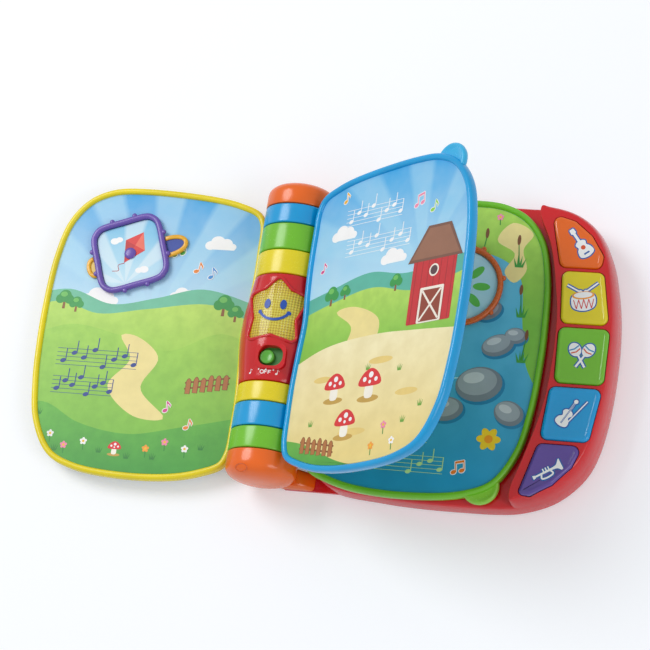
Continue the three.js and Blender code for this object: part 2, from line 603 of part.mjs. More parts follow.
const BASE_SAMPLES = 48;
const baseLoop = smoothLoop([
  [BASE_OUTER, 3], [BASE_OUTER - 1.6, 33], [BASE_OUTER - 6, 59], [BASE_OUTER - 12.2, BASE_TOP - 32.5],
  [BASE_OUTER - 22, BASE_TOP - 16.5], [BASE_OUTER - 37, BASE_TOP - 5.5], [BASE_OUTER - 55, BASE_TOP - 0.5],
  [BASE_OUTER - 75, BASE_TOP], [110, BASE_TOP], [BASE_INNER + 40, BASE_TOP - 2.5],
  [BASE_INNER + 18, BASE_TOP - 7.5], [BASE_INNER + 5.5, BASE_TOP - 15.5],
  [BASE_INNER + 0.5, BASE_TOP - 26.5], [BASE_INNER, 45], [BASE_INNER + 0.6, 2], [BASE_INNER, -40],
  [BASE_INNER + 0.5, BASE_BOTTOM + 31], [BASE_INNER + 5.5, BASE_BOTTOM + 18],
  [BASE_INNER + 19, BASE_BOTTOM + 7], [BASE_INNER + 57, BASE_BOTTOM + 1.6], [118, BASE_BOTTOM],
  [150, BASE_BOTTOM], [BASE_OUTER - 76, BASE_BOTTOM + 0.5], [BASE_OUTER - 58, BASE_BOTTOM + 2.6],
  [BASE_OUTER - 36, BASE_BOTTOM + 10.8], [BASE_OUTER - 22, BASE_BOTTOM + 22],
  [BASE_OUTER - 12, BASE_BOTTOM + 35.5], [BASE_OUTER - 5.6, BASE_BOTTOM + 54], [BASE_OUTER - 1.4, -32],
], BASE_SAMPLES);

// The raised key bank is the part of the base beyond the leaves' outer edge
const bankEdge = [
  [LEAF_OUTER - 15.2, BASE_TOP + 9], [LEAF_OUTER - 15.2, LEAF_TOP - 11], [LEAF_OUTER - 12.5, LEAF_TOP - 17],
  [LEAF_OUTER - 5.9, LEAF_TOP - 30.7], [LEAF_OUTER - 1.1, LEAF_TOP - 47.3], [LEAF_OUTER + 2.3, 49],
  [LEAF_OUTER + 5.3, 31], [LEAF_OUTER + 6.4, 8], [LEAF_OUTER + 5.8, -14], [LEAF_OUTER + 4.4, -33],
  [LEAF_OUTER + 1.1, LEAF_BOTTOM + 62.4], [LEAF_OUTER - 3.7, LEAF_BOTTOM + 43.7],
  [LEAF_OUTER - 10.1, LEAF_BOTTOM + 21.3], [LEAF_OUTER - 12.7, LEAF_BOTTOM + 13],
  [LEAF_OUTER - 12.2, BASE_BOTTOM - 9],
];

// A prism over the bank, moved towards the keys by a distance
function bankSide(shift, low, high) {
  const far = BASE_OUTER + 20;
  const points = [[far, BASE_BOTTOM - 9], [far, BASE_TOP + 9],
    ...bankEdge.map(([x, y]) => [x + shift, y])];
  return slab(points.map(([x, y]) => new THREE.Vector2(x, y)), low, high);
}

const bankOuter = stack([[baseLoop, SPLIT_Z], [baseLoop, DECK_Z],
  [inset(baseLoop, BANK_ROUND * 0.14), DECK_Z + 5], [inset(baseLoop, BANK_ROUND * 0.36), DECK_Z + 9.5],
  [inset(baseLoop, BANK_ROUND * 0.66), BANK_Z - 1.7], [inset(baseLoop, BANK_ROUND), BANK_Z]]);
const bank = bankOuter.intersect(bankSide(0, SPLIT_Z, BANK_Z - 1).add(bankSide(1, SPLIT_Z, BANK_Z)));

// The space inside the bank's walls, less a margin
function bankRoom(margin) {
  return stack([[inset(baseLoop, BASE_WALL + margin), SPLIT_Z - 1],
    [inset(baseLoop, BASE_WALL + margin), DECK_Z],
    [inset(baseLoop, BANK_ROUND * 0.36 + BASE_WALL + margin), DECK_Z + 8.5],
    [inset(baseLoop, BANK_ROUND * 0.66 + BASE_WALL + margin), BANK_Z - BASE_WALL]])
    .intersect(bankSide(BASE_WALL + margin, SPLIT_Z - 2, BANK_Z));
}

const bankHollow = bankRoom(0);
const keyRoom = bankRoom(GAP);
const deck = stack([[baseLoop, SPLIT_Z], [baseLoop, DECK_Z - 2], [inset(baseLoop, 0.6), DECK_Z - 0.6],
  [inset(baseLoop, 2), DECK_Z]]);
const deckHollow = slab(inset(baseLoop, BASE_WALL), SPLIT_Z - 1, DECK_Z - BASE_WALL);
const floorShape = stack([[inset(baseLoop, 2.4), 0], [inset(baseLoop, 0.7), 1.2], [baseLoop, 3],
  [baseLoop, SPLIT_Z - GAP]]);
const floorHollow = slab(inset(baseLoop, BASE_WALL), BASE_WALL, SPLIT_Z + 1);

// Keys, each a cap with a flange that stops under the bank's face

// Corners across the bank, as shares of its width beyond the leaves
const KEYS = [
  { name: 'orange', colour: COLOURS.orange,
    corners: [[-0.104, 103.5], [0.245, 98.5], [0.504, 88], [0.703, 73], [0.683, 63.2], [0.096, 63.2]] },
  { name: 'yellow', colour: COLOURS.yellow,
    corners: [[0.131, 60.4], [0.733, 60.4], [0.882, 21.2], [0.197, 21.2]] },
  { name: 'green', colour: COLOURS.green,
    corners: [[0.181, 18.2], [0.906, 18.2], [0.902, -23.2], [0.205, -23.2]] },
  { name: 'blue', colour: COLOURS.blue,
    corners: [[0.155, -26.2], [0.894, -26.2], [0.783, -65.3], [0.098, -65.3]] },
  { name: 'purple', colour: 0x6450a5,
    corners: [[0.086, -68.4], [0.713, -68.4], [0.594, -84], [0.345, -97.5], [0.046, -106.4],
      [-0.124, -106.4]] },
];
const flangeTop = BANK_Z - BASE_WALL - GAP;
const domeTop = flangeTop - FLANGE_THICKNESS - KEY_TRAVEL - GAP;
const DOME_HEIGHT = 5.5;
const membraneTop = domeTop - DOME_HEIGHT;
const MEMBRANE_THICKNESS = 2;
const STRIP_INSET = 3;
const keyBoardTop = membraneTop - MEMBRANE_THICKNESS - GAP;
const keyBoardLow = keyBoardTop - BOARD_THICKNESS;

let upper = deck.subtract(deckHollow).add(bank).subtract(bankHollow);
let domes = null;
KEYS.forEach(({ name, colour, corners }) => {
  const loop = roundedLoop(corners.map(([share, y]) => [LEAF_OUTER + share * BANK_WIDTH, y]), KEY_CORNER);
  const centre = loop.reduce((sum, p) => sum.add(p), new THREE.Vector2()).divideScalar(loop.length);
  upper = upper.subtract(slab(inset(loop, -SLIDE_GAP), DECK_Z + 2, BANK_Z + 5));
  const cap = stack([[loop, flangeTop - 0.5], [loop, KEY_TOP_Z - 1.8], [inset(loop, 0.6), KEY_TOP_Z - 0.6],
    [inset(loop, 1.8), KEY_TOP_Z]]);
  const flange = slab(inset(loop, -KEY_FLANGE), flangeTop - FLANGE_THICKNESS, flangeTop)
    .intersect(keyRoom);
  add(model, `key_${name}`, cap.add(flange), colour, 0.2);
  const domeAt = new THREE.Matrix4().makeRotationX(Math.PI / 2).setPosition(centre.x, centre.y, 0);
  const dome = revolve([[0, membraneTop - 1], [8, membraneTop - 1], [8, membraneTop],
    [5, domeTop], [0, domeTop]], 16).transform(domeAt.toArray());
  domes = domes ? domes.add(dome) : dome;
});

const strip = bankRoom(STRIP_INSET);
const membrane = strip.intersect(block(LEAF_OUTER - 45, BASE_OUTER, BASE_BOTTOM + 8.8, BASE_TOP - 8.5,
  membraneTop - MEMBRANE_THICKNESS, membraneTop)).add(domes);
const keyBoard = strip.intersect(block(LEAF_OUTER - 45, BASE_OUTER, BASE_BOTTOM + 10.8, BASE_TOP - 10.5,
  keyBoardLow, keyBoardTop));
add(model, 'key_membrane', membrane, 0xd9d9d2, 0.7);
add(model, 'key_board', keyBoard, 0x2f7d4a, 0.6);

// Lower shell with tongues, bosses, battery bay and speaker grille

const CAP_FOOTINGS = [
  TOP_RINGS.at(-1) + CAP_LENGTH / 2,
  BOTTOM_RINGS.at(-1) - CAP_LENGTH / 2,
];
const BASE_SCREWS = [[52, 84], [52, -90], [LEAF_OUTER - 8.7, 88], [LEAF_OUTER - 14.7, -98]];
const BOARD_POSTS = [[0.424, 70], [0.544, 0], [0.384, -72]]
  .map(([share, y]) => [LEAF_OUTER + share * BANK_WIDTH, y]);
const BOSS_RADIUS = 4.6;
const bay = { left: BATTERY_X - 4, right: BATTERY_X + BATTERY_LENGTH + 4,
  bottom: BATTERY_Y - 2 * BATTERY_RADIUS - 2, top: BATTERY_Y + 2 * BATTERY_RADIUS + 2 };
const BAY_WALL = 1.6;
const BAY_WALL_Z = 12;
const EAR_THICKNESS = 3.4;
const EAR_HALF_WIDTH = 5.5;
const doorScrewX = bay.right + 7;
const earEnd = doorScrewX + EAR_HALF_WIDTH;

let lower = floorShape.subtract(floorHollow);
CAP_FOOTINGS.forEach((y) => {
  lower = lower
    .add(block(TONGUE_START, 64, y - FOOT_WIDTH / 2, y + FOOT_WIDTH / 2, 0, TONGUE_THICKNESS))
    .subtract(rod(SCREW_RADIUS + GAP, -1, 9, FOOT_SCREW_X, y, 8))
    .subtract(rod(SCREW_HEAD + GAP, -1, SCREW_HEAD_HEIGHT + GAP, FOOT_SCREW_X, y, 8));
});
BASE_SCREWS.forEach(([x, y]) => {
  lower = lower.add(rod(BOSS_RADIUS, 1, SPLIT_Z - GAP, x, y, 8))
    .subtract(rod(SCREW_RADIUS + GAP, -1, 20, x, y, 8))
    .subtract(rod(SCREW_HEAD + GAP, -1, 4, x, y, 8));
  upper = upper.add(rod(BOSS_RADIUS - 1, SPLIT_Z, DECK_Z - 1, x, y, 8))
    .subtract(rod(SCREW_RADIUS + GAP, SPLIT_Z - 1, DECK_Z - BASE_WALL, x, y, 8));
});
BOARD_POSTS.forEach(([x, y]) => {
  lower = lower.add(rod(3, 1, keyBoardLow - GAP, x, y, 8));
});
lower = lower
  .add(block(bay.left - BAY_WALL, bay.right + BAY_WALL, bay.bottom - BAY_WALL, bay.top + BAY_WALL, 1,
    BAY_WALL_Z))
  .subtract(block(bay.left, bay.right, bay.bottom, bay.top, -1, BAY_WALL_Z + 1));
lower = lower
  .add(block(bay.right + 1, earEnd + BAY_WALL + GAP, BATTERY_Y - EAR_HALF_WIDTH - BAY_WALL - GAP,
    BATTERY_Y + EAR_HALF_WIDTH + BAY_WALL + GAP, 1, EAR_THICKNESS + GAP + BASE_WALL))
  .subtract(block(bay.right - 3, earEnd + GAP, BATTERY_Y - EAR_HALF_WIDTH - GAP,
    BATTERY_Y + EAR_HALF_WIDTH + GAP, -1, EAR_THICKNESS + GAP))
  .add(rod(BOSS_RADIUS - 1, EAR_THICKNESS + GAP + 1, BAY_WALL_Z, doorScrewX, BATTERY_Y, 8))
  .subtract(rod(SCREW_RADIUS + GAP, 0, BAY_WALL_Z - 2, doorScrewX, BATTERY_Y, 8));
const grille = [-10, -5, 0, 5, 10].map((shift) => {
  const reach = Math.sqrt(15 ** 2 - shift ** 2);
  return block(SPEAKER_X - reach, SPEAKER_X + reach, SPEAKER_Y + shift - 1, SPEAKER_Y + shift + 1, -1, 4);
});
const seat = rod(SPEAKER_RADIUS + 2, 1, BASE_WALL + 3, SPEAKER_X, SPEAKER_Y, 20)
  .subtract(rod(SPEAKER_RADIUS + GAP, BASE_WALL, 9, SPEAKER_X, SPEAKER_Y, 20));
lower = lower.add(seat);
grille.forEach((bar) => {
  lower = lower.subtract(bar);
});

const MAIN_BOARD = { left: earEnd + 5, right: LEAF_OUTER - 14.7, bottom: -66, top: -26, low: 7.5 };
const POST_INSET = 6;
[MAIN_BOARD.left + POST_INSET, MAIN_BOARD.right - POST_INSET].forEach((x) => {
  [MAIN_BOARD.bottom + POST_INSET, MAIN_BOARD.top - POST_INSET].forEach((y) => {
    lower = lower.add(rod(2.6, 1, MAIN_BOARD.low - GAP, x, y, 8));
  });
});
add(model, 'base_upper_shell', upper, COLOURS.red);
add(model, 'base_lower_shell', lower, COLOURS.red);
add(model, 'main_board', block(MAIN_BOARD.left, MAIN_BOARD.right, MAIN_BOARD.bottom, MAIN_BOARD.top,
  MAIN_BOARD.low, MAIN_BOARD.low + BOARD_THICKNESS), 0x2f7d4a, 0.6);

const deckPage = slab(inset(baseLoop, 6), DECK_Z + LABEL_GAP, DECK_Z + LABEL_GAP + LABEL_THICKNESS)
  .intersect(slab(inset(leafLoop, LEAF_RIM), DECK_Z, DECK_Z + 1));
add(model, 'base_page', deckPage, 0x9fd8ee, 0.45);

const speakerAt = new THREE.Matrix4().makeRotationX(Math.PI / 2).setPosition(SPEAKER_X, SPEAKER_Y, 0);
const speakerLow = BASE_WALL + GAP;
const speaker = revolve([[0, speakerLow + 2.5], [8, speakerLow + 3], [15, speakerLow + 0.8],
  [SPEAKER_RADIUS, speakerLow], [SPEAKER_RADIUS, speakerLow + 3], [12, speakerLow + 6.5],
  [12, speakerLow + 11], [0, speakerLow + 11]], 24);
add(model, 'speaker', speaker.transform(speakerAt.toArray()), 0x2e2e30, 0.6);

// Batteries, their contacts and the screwed door

const doorHigh = BASE_WALL - 0.4;
const door = block(bay.left + GAP, bay.right - GAP, bay.bottom + GAP, bay.top - GAP, 0, doorHigh)
  .add(block(bay.right - 3, earEnd, BATTERY_Y - EAR_HALF_WIDTH, BATTERY_Y + EAR_HALF_WIDTH, 0,
    EAR_THICKNESS).subtract(block(0, bay.right - GAP, bay.bottom, bay.top, doorHigh, 9)))
  .subtract(rod(SCREW_RADIUS + GAP, -1, 9, doorScrewX, BATTERY_Y, 8))
  .subtract(rod(SCREW_HEAD + GAP, -1, SCREW_HEAD_HEIGHT + GAP, doorScrewX, BATTERY_Y, 8));
add(model, 'battery_door', door, COLOURS.red);
[-1, 1].forEach((side) => {
  const y = BATTERY_Y + side * (BATTERY_RADIUS + 0.6);
  const cell = revolve([[0, 0], [BATTERY_RADIUS, 0], [BATTERY_RADIUS, BATTERY_LENGTH - 1.5],
    [2.7, BATTERY_LENGTH - 1.5], [2.7, BATTERY_LENGTH], [0, BATTERY_LENGTH]], 20);
  const turn = new THREE.Matrix4().makeRotationZ((-side * Math.PI) / 2);
  turn.setPosition(side > 0 ? BATTERY_X : BATTERY_X + BATTERY_LENGTH, y, doorHigh + GAP + BATTERY_RADIUS);
  add(model, side > 0 ? 'battery_upper' : 'battery_lower', cell.transform(turn.toArray()), 0x50555c, 0.4, 0.3);
});
[['inner', bay.left + GAP, BATTERY_X - GAP], ['outer', BATTERY_X + BATTERY_LENGTH + GAP,
  bay.right - GAP]].forEach(([name, left, right]) => {
  add(model, `battery_contact_${name}`, block(left, right, bay.bottom + 4, bay.top - 4,
    doorHigh + GAP, doorHigh + GAP + 9), 0xc9ccd0, 0.3, 0.9);
});

// Screws, driven from below

function screw(x, y, low, length, parent, name) {
  const shape = rod(SCREW_HEAD, low, low + SCREW_HEAD_HEIGHT, x, y, 8)
    .add(rod(SCREW_RADIUS, low + SCREW_HEAD_HEIGHT - 0.5, low + length, x, y, 8))
    .subtract(block(x - 1.8, x + 1.8, y - 0.4, y + 0.4, low - 1, low + 0.9));
  add(parent, name, shape, 0xb4b7bb, 0.35, 0.9);
}

BASE_SCREWS.forEach(([x, y], i) => {
  screw(x, y, 4 - SCREW_HEAD_HEIGHT - GAP, 12, model, `base_screw_${i + 1}`);
});
screw(doorScrewX, BATTERY_Y, 0.1, 9, model, 'battery_door_screw');
CAP_FOOTINGS.forEach((y, i) => {
  screw(FOOT_SCREW_X, y, 0.1, 10, model, `cap_screw_${i + 1}`);
});
SPINE_SCREW_Y.forEach((y, i) => {
  screw(0, y, -14 - SCREW_HEAD_HEIGHT - GAP, 24, spine, `spine_screw_${i + 1}`);
});

export default group;
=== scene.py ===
import math

import bmesh
import bpy
from mathutils import Matrix, Vector


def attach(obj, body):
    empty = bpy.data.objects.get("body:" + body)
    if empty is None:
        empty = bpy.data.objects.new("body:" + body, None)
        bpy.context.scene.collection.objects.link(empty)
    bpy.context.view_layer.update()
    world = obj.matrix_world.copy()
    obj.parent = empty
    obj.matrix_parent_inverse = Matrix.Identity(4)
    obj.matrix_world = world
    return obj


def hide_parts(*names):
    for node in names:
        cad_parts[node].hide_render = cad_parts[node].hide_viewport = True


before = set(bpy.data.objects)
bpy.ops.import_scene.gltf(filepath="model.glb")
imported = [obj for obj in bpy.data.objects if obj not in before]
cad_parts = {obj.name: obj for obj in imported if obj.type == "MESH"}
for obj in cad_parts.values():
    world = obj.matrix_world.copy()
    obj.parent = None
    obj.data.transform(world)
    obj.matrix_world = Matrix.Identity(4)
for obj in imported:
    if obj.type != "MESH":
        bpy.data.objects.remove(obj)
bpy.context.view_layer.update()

# Numbers are millimetres, as in the part's source; build() turns them into metres.
MM = 0.001
SHIFT_X = -137.7
AXIS_Z = 27
GAP = 0.3
RING_RADIUS = 26
JOURNAL_RADIUS = 22.1
BORE_RADIUS = 22.4
BARREL_TOP = 39.6
BARREL_BOTTOM = -42.3
BARREL_BULGE = 4
BARREL_WALL = 2.4
TOP_RINGS = [39.6, 58.6, 79.3, 94.7]
BOTTOM_RINGS = [-42.3, -57.3, -75.8, -92.5]
LEAF_INNER = 27.4
LEAF_OUTER = 194.7
LEAF_TOP = 114
LEAF_BOTTOM = -114
RIM_WIDTH = 5
HALF_LEAF = 4
WEB_FACE = 1.2
LABEL_LOW = 1.3
LABEL_TOP = 1.6
LAYER = 0.03
STEP = 0.002
OFFSETS = {"green": -2.7, "blue": 5.8, "yellow": 14.3}
ANGLES = {"green": 0, "blue": 34, "yellow": 180}
DECK_Z = 19.5
SPLIT_Z = 8
BANK_Z = 34
SLOT_FLOOR = 22.6


# Loops are lists of 2-D points

def loop_area(loop):
    return sum(a[0] * b[1] - b[0] * a[1] for a, b in zip(loop, loop[1:] + loop[:1])) / 2


def spaced(points, count):
    """The closed polyline through the points, cut at equal distances."""
    ring = [Vector(p) for p in points]
    ends = ring[1:] + ring[:1]
    lengths = [(b - a).length for a, b in zip(ring, ends)]
    step = sum(lengths) / count
    loop, done, want = [], 0.0, 0.0
    for a, b, length in zip(ring, ends, lengths):
        while want < done + length and len(loop) < count:
            loop.append(tuple(a.lerp(b, (want - done) / length)))
            want += step
        done += length
    return loop


def hermite(p0, p1, p2, p3, count):
    """One span of a centripetal Catmull-Rom curve, from p1 up to p2."""
    d0, d1, d2 = (max((b - a).length, 1e-6) ** 0.5 for a, b in ((p0, p1), (p1, p2), (p2, p3)))
    t1 = ((p1 - p0) / d0 - (p2 - p0) / (d0 + d1) + (p2 - p1) / d1) * d1
    t2 = ((p2 - p1) / d1 - (p3 - p1) / (d1 + d2) + (p3 - p2) / d2) * d1
    c2 = -3 * p1 + 3 * p2 - 2 * t1 - t2
    c3 = 2 * p1 - 2 * p2 + t1 + t2
    return [p1 + t1 * t + c2 * t * t + c3 * t ** 3 for t in (k / count for k in range(count))]


def smooth_loop(points, count):
    ring = [Vector(p) for p in points]
    total = len(ring)
    fine = []
    for i in range(total):
        fine += hermite(*(ring[(i + k - 1) % total] for k in range(4)), 16)
    loop = spaced(fine, count)
    return anticlockwise(loop)


def smooth_line(points, steps=8):
    """An open curve through the points."""
    line = [Vector(p) for p in points]
    ends = [2 * line[0] - line[1]] + line + [2 * line[-1] - line[-2]]
    fine = []
    for i in range(len(line) - 1):
        fine += hermite(*ends[i:i + 4], steps)
    return [tuple(p) for p in fine] + [tuple(line[-1])]


def box(left, low, right, high):
    return [(left, low), (right, low), (right, high), (left, high)]


def polar(reach, turn, x=0.0, y=0.0):
    """The point at a distance from (x, y), in the direction of a turn in degrees."""
    return (x + reach * math.cos(math.radians(turn)), y + reach * math.sin(math.radians(turn)))


def anticlockwise(loop):
    """The loop, turned to run anticlockwise."""
    return loop if loop_area(loop) > 0 else loop[::-1]


def rounded_loop(points, radius, steps=8):
    corners = [Vector(p) for p in points]
    loop = []
    for i, corner in enumerate(corners):
        back = corners[i - 1] - corner
        ahead = corners[(i + 1) % len(corners)] - corner
        half = back.angle(ahead) / 2
        bend = min(radius, min(back.length, ahead.length) / 2.2 * math.tan(half))
        middle = corner + (back.normalized() + ahead.normalized()).normalized() * (bend / math.sin(half))
        start = corner + back.normalized() * (bend / math.tan(half)) - middle
        end = corner + ahead.normalized() * (bend / math.tan(half)) - middle
        side = 1 if start.x * end.y - start.y * end.x > 0 else -1
        for k in range(steps + 1):
            turned = start.copy()
            turned.rotate(Matrix.Rotation(side * (math.pi - 2 * half) * k / steps, 2))
            loop.append(tuple(middle + turned))
    return anticlockwise(loop)


def ellipse(x, y, rx, ry=None, turn=0, count=28):
    ry = rx if ry is None else ry
    c, s = math.cos(math.radians(turn)), math.sin(math.radians(turn))
    loop = []
    for k in range(count):
        a = 2 * math.pi * k / count
        px, py = rx * math.cos(a), ry * math.sin(a)
        loop.append((x + px * c - py * s, y + px * s + py * c))
    return loop


def inset(loop, distance):
    """The loop moved inwards, by one distance or by one for each point."""
    count = len(loop)
    moved = []
    for i, (x, y) in enumerate(loop):
        ax, ay = loop[i - 1]
        bx, by = loop[(i + 1) % count]
        length = math.hypot(bx - ax, by - ay) or 1
        d = distance[i] if isinstance(distance, list) else distance
        moved.append((x - (by - ay) / length * d, y + (bx - ax) / length * d))
    return moved


def relax(loop, passes):
    for _ in range(passes):
        loop = [((a[0] + 2 * b[0] + c[0]) / 4, (a[1] + 2 * b[1] + c[1]) / 4)
                for a, b, c in zip(loop[-1:] + loop[:-1], loop, loop[1:] + loop[:1])]
    return loop


def turned(loop, turn, x=0, y=0, scale=1):
    c, s = math.cos(math.radians(turn)), math.sin(math.radians(turn))
    return [(x + scale * (px * c - py * s), y + scale * (px * s + py * c)) for px, py in loop]


def stroke(points, width):
    """A band of one width along a line, or narrowing to its end for a pair of widths."""
    widths = width if isinstance(width, tuple) else (width, width)
    left, right = [], []
    for i, p in enumerate(points):
        a, b = points[max(i - 1, 0)], points[min(i + 1, len(points) - 1)]
        length = math.hypot(b[0] - a[0], b[1] - a[1]) or 1
        half = (widths[0] + (widths[1] - widths[0]) * i / (len(points) - 1)) / 2
        nx, ny = -(b[1] - a[1]) / length * half, (b[0] - a[0]) / length * half
        left.append((p[0] + nx, p[1] + ny))
        right.append((p[0] - nx, p[1] - ny))
    return right + left[::-1]


def clip(loop, border):
    """The part of a loop inside a convex border."""
    kept = list(loop)
    for (ax, ay), (bx, by) in zip(border, border[1:] + border[:1]):
        def side(p):
            return (bx - ax) * (p[1] - ay) - (by - ay) * (p[0] - ax)
        result = []
        for p, q in zip(kept, kept[1:] + kept[:1]):
            if side(p) >= 0:
                result.append(p)
            if (side(p) >= 0) != (side(q) >= 0):
                t = side(p) / (side(p) - side(q))
                result.append((p[0] + t * (q[0] - p[0]), p[1] + t * (q[1] - p[1])))
        kept = result
    return kept


def hull(points):
    def chain(ordered):
        line = []
        for p in ordered:
            while len(line) > 1 and ((line[-1][0] - line[-2][0]) * (p[1] - line[-2][1])
                                     - (line[-1][1] - line[-2][1]) * (p[0] - line[-2][0])) <= 0:
                line.pop()
            line.append(p)
        return line[:-1]
    return chain(sorted(points)) + chain(sorted(points, reverse=True))


# Solids are pairs: vertices and faces

def loft(layers):
    count = len(layers[0][0])
    verts = [(x, y, z) for loop, z in layers for x, y in loop]
    faces = []
    for k in range(len(layers) - 1):
        low, high = k * count, (k + 1) * count
        for i in range(count):
            j = (i + 1) % count
            faces.append((low + i, low + j, high + j, high + i))
    faces.append(tuple(range(count))[::-1])
    faces.append(tuple(range(len(verts) - count, len(verts))))
    return verts, faces


def slab(loop, low, high):
    return loft([(loop, low), (loop, high)])


def cycle(layers):
    """A closed band through loops that come back to the first."""
    count, total = len(layers[0][0]), len(layers)
    verts = [(x, y, z) for loop, z in layers for x, y in loop]
    faces = []
    for k in range(total):
        low, high = k * count, ((k + 1) % total) * count
        for i in range(count):
            j = (i + 1) % count
            faces.append((low + i, low + j, high + j, high + i))
    return verts, faces


def rim_profile(width, low, high, steps):
    """Distances inwards and heights round a rounded-off rectangle."""
    square = 0.72
    half, tall, middle = width / 2, (high - low) / 2, (high + low) / 2
    points = []
    for k in range(steps):
        a = 2 * math.pi * k / steps
        c, s = math.cos(a), math.sin(a)
        points.append((half - half * math.copysign(abs(c) ** square, c),
                       middle + tall * math.copysign(abs(s) ** square, s)))
    return points


def rim(loop, width, low, high):
    return cycle([(inset(loop, d), z) for d, z in rim_profile(width, low, high, 20)])


def revolve(profile, segments=96, start=0.0, end=360.0):
    """Turns a closed outline of (radius, y) about the Y axis."""
    whole = abs(end - start) >= 360
    count = segments if whole else segments + 1
    size = len(profile)
    verts, faces = [], []
    for k in range(count):
        a = math.radians(start + (end - start) * k / segments)
        verts += [(r * math.cos(a), y, r * math.sin(a)) for r, y in profile]
    for k in range(segments):
        low, high = k * size, ((k + 1) % count) * size
        for i in range(size):
            j = (i + 1) % size
            if profile[i][0] > 0 or profile[j][0] > 0:
                faces.append((low + i, low + j, high + j, high + i))
    if not whole:
        faces.append(tuple(range(size)))
        faces.append(tuple(range(len(verts) - size, len(verts)))[::-1])
    return verts, faces


def upright(x, y, profile, segments=40):
    """A turned shape of (radius, height) that stands on the page."""
    verts, faces = revolve(profile, segments)
    return [(x + px, y - pz, py) for px, py, pz in verts], faces


def tube(points, radius, sides):
    """A round rod along a closed 3-D line."""
    line = [Vector(p) for p in points]
    total = len(line)
    verts, faces = [], []
    for i, p in enumerate(line):
        along = (line[(i + 1) % total] - line[i - 1]).normalized()
        across = along.cross(Vector((0, 0, 1))).normalized()
        over = across.cross(along)
        for k in range(sides):
            a, b = polar(radius, 360 * k / sides)
            verts.append(tuple(p + across * a + over * b))
        low, high = i * sides, ((i + 1) % total) * sides
        for k in range(sides):
            j = (k + 1) % sides
            faces.append((low + k, low + j, high + j, high + k))
    return verts, faces


# Materials

def colour(code):
    values = [int(code[i:i + 2], 16) / 255 for i in (0, 2, 4)]
    return [v / 12.92 if v <= 0.04045 else ((v + 0.055) / 1.055) ** 2.4 for v in values] + [1]


class Shader:
    """A material whose nodes are added by name."""

    def __init__(self, name):
        self.material = bpy.data.materials.new(name)
        self.material.use_nodes = True
        self.tree = self.material.node_tree
        self.surface = self.tree.nodes["Principled BSDF"]
        self.place = self.tree.nodes.new("ShaderNodeTexCoord").outputs["Object"]

    def feed(self, socket, value):
        if isinstance(value, bpy.types.NodeSocket):
            self.tree.links.new(value, socket)
        else:
            socket.default_value = value

    def noise(self, scale, detail=2.0):
        node = self.tree.nodes.new("ShaderNodeTexNoise")
        self.feed(node.inputs["Vector"], self.place)
        node.inputs["Scale"].default_value = scale
        node.inputs["Detail"].default_value = detail
        return node.outputs["Fac"]

    def math(self, operation, a, b=0.0):
        node = self.tree.nodes.new("ShaderNodeMath")
        node.operation = operation
        self.feed(node.inputs[0], a)
        self.feed(node.inputs[1], b)
        return node.outputs[0]

    def span(self, value, low, high, to_low=0.0, to_high=1.0):
        node = self.tree.nodes.new("ShaderNodeMapRange")
        self.feed(node.inputs["Value"], value)
        for name, number in (("From Min", low), ("From Max", high), ("To Min", to_low), ("To Max", to_high)):
            node.inputs[name].default_value = number
        return node.outputs["Result"]

    def blend(self, factor, a, b):
        node = self.tree.nodes.new("ShaderNodeMix")
        node.data_type = "RGBA"
        self.feed(node.inputs[0], factor)
        self.feed(node.inputs[6], a)
        self.feed(node.inputs[7], b)
        return node.outputs[2]

    def axes(self):
        node = self.tree.nodes.new("ShaderNodeSeparateXYZ")
        self.feed(node.inputs[0], self.place)
        return node.outputs

    def bump(self, height, strength, distance):
        node = self.tree.nodes.new("ShaderNodeBump")
        self.feed(node.inputs["Height"], height)
        node.inputs["Strength"].default_value = strength
        node.inputs["Distance"].default_value = distance
        self.feed(self.surface.inputs["Normal"], node.outputs["Normal"])

    def gloss(self, low, high, grain):
        self.feed(self.surface.inputs["Roughness"], self.span(self.noise(grain), 0.3, 0.7, low, high))


    def satin(self):
        """The skin that all printed films share."""
        self.gloss(0.34, 0.46, 1500.0)
        self.bump(self.noise(2500.0), 0.03, 0.00008)
        return self.material


def tinted(code, amount):
    return [max(0.0, min(1.0, v * (1 + amount))) for v in colour(code)[:3]] + [1]


def moulded(name, code, low=0.16, high=0.26, tint=0.07, size=28.0, grain=500.0, relief=0.05, **constant):
    """Glossy moulded plastic: slight flow marks in the colour, and a fine uneven skin."""
    made = Shader(name)
    base = made.blend(made.span(made.noise(size, 3), 0.3, 0.7), tinted(code, -tint), tinted(code, tint))
    made.feed(made.surface.inputs["Base Color"], base)
    made.gloss(low, high, grain)
    made.bump(made.noise(grain * 1.7), relief, 0.00008)
    for socket, value in constant.items():
        made.surface.inputs[socket.replace("_", " ")].default_value = value
    return made.material


INKS = {}


def ink(code):
    """Printed film: a slight mottle of the ink under a satin skin."""
    if code not in INKS:
        INKS[code] = moulded("ink_" + code, code, 0.34, 0.46, 0.05, 90.0, 1500.0, 0.03)
    return INKS[code]


def sky_film(name, low_code, high_code, ray_code, centre, span, rays=13, strength=0.5):
    """Printed sky: paler towards the ground, with broad rays out of one point."""
    made = Shader(name)
    x, y, _ = made.axes()
    height = made.span(y, span[0] * MM, span[1] * MM)
    base = made.blend(height, colour(low_code), colour(high_code))
    turn = made.math("ARCTAN2", made.math("SUBTRACT", y, centre[1] * MM),
                     made.math("SUBTRACT", x, centre[0] * MM))
    wave = made.span(made.math("SINE", made.math("MULTIPLY", turn, rays)), -0.25, 0.35, 0, strength)
    rays_over = made.blend(wave, base, colour(ray_code))
    mottle = made.blend(made.span(made.noise(60.0), 0.3, 0.7, 0, 0.08), rays_over, [1, 1, 1, 1])
    made.feed(made.surface.inputs["Base Color"], mottle)
    return made.satin()


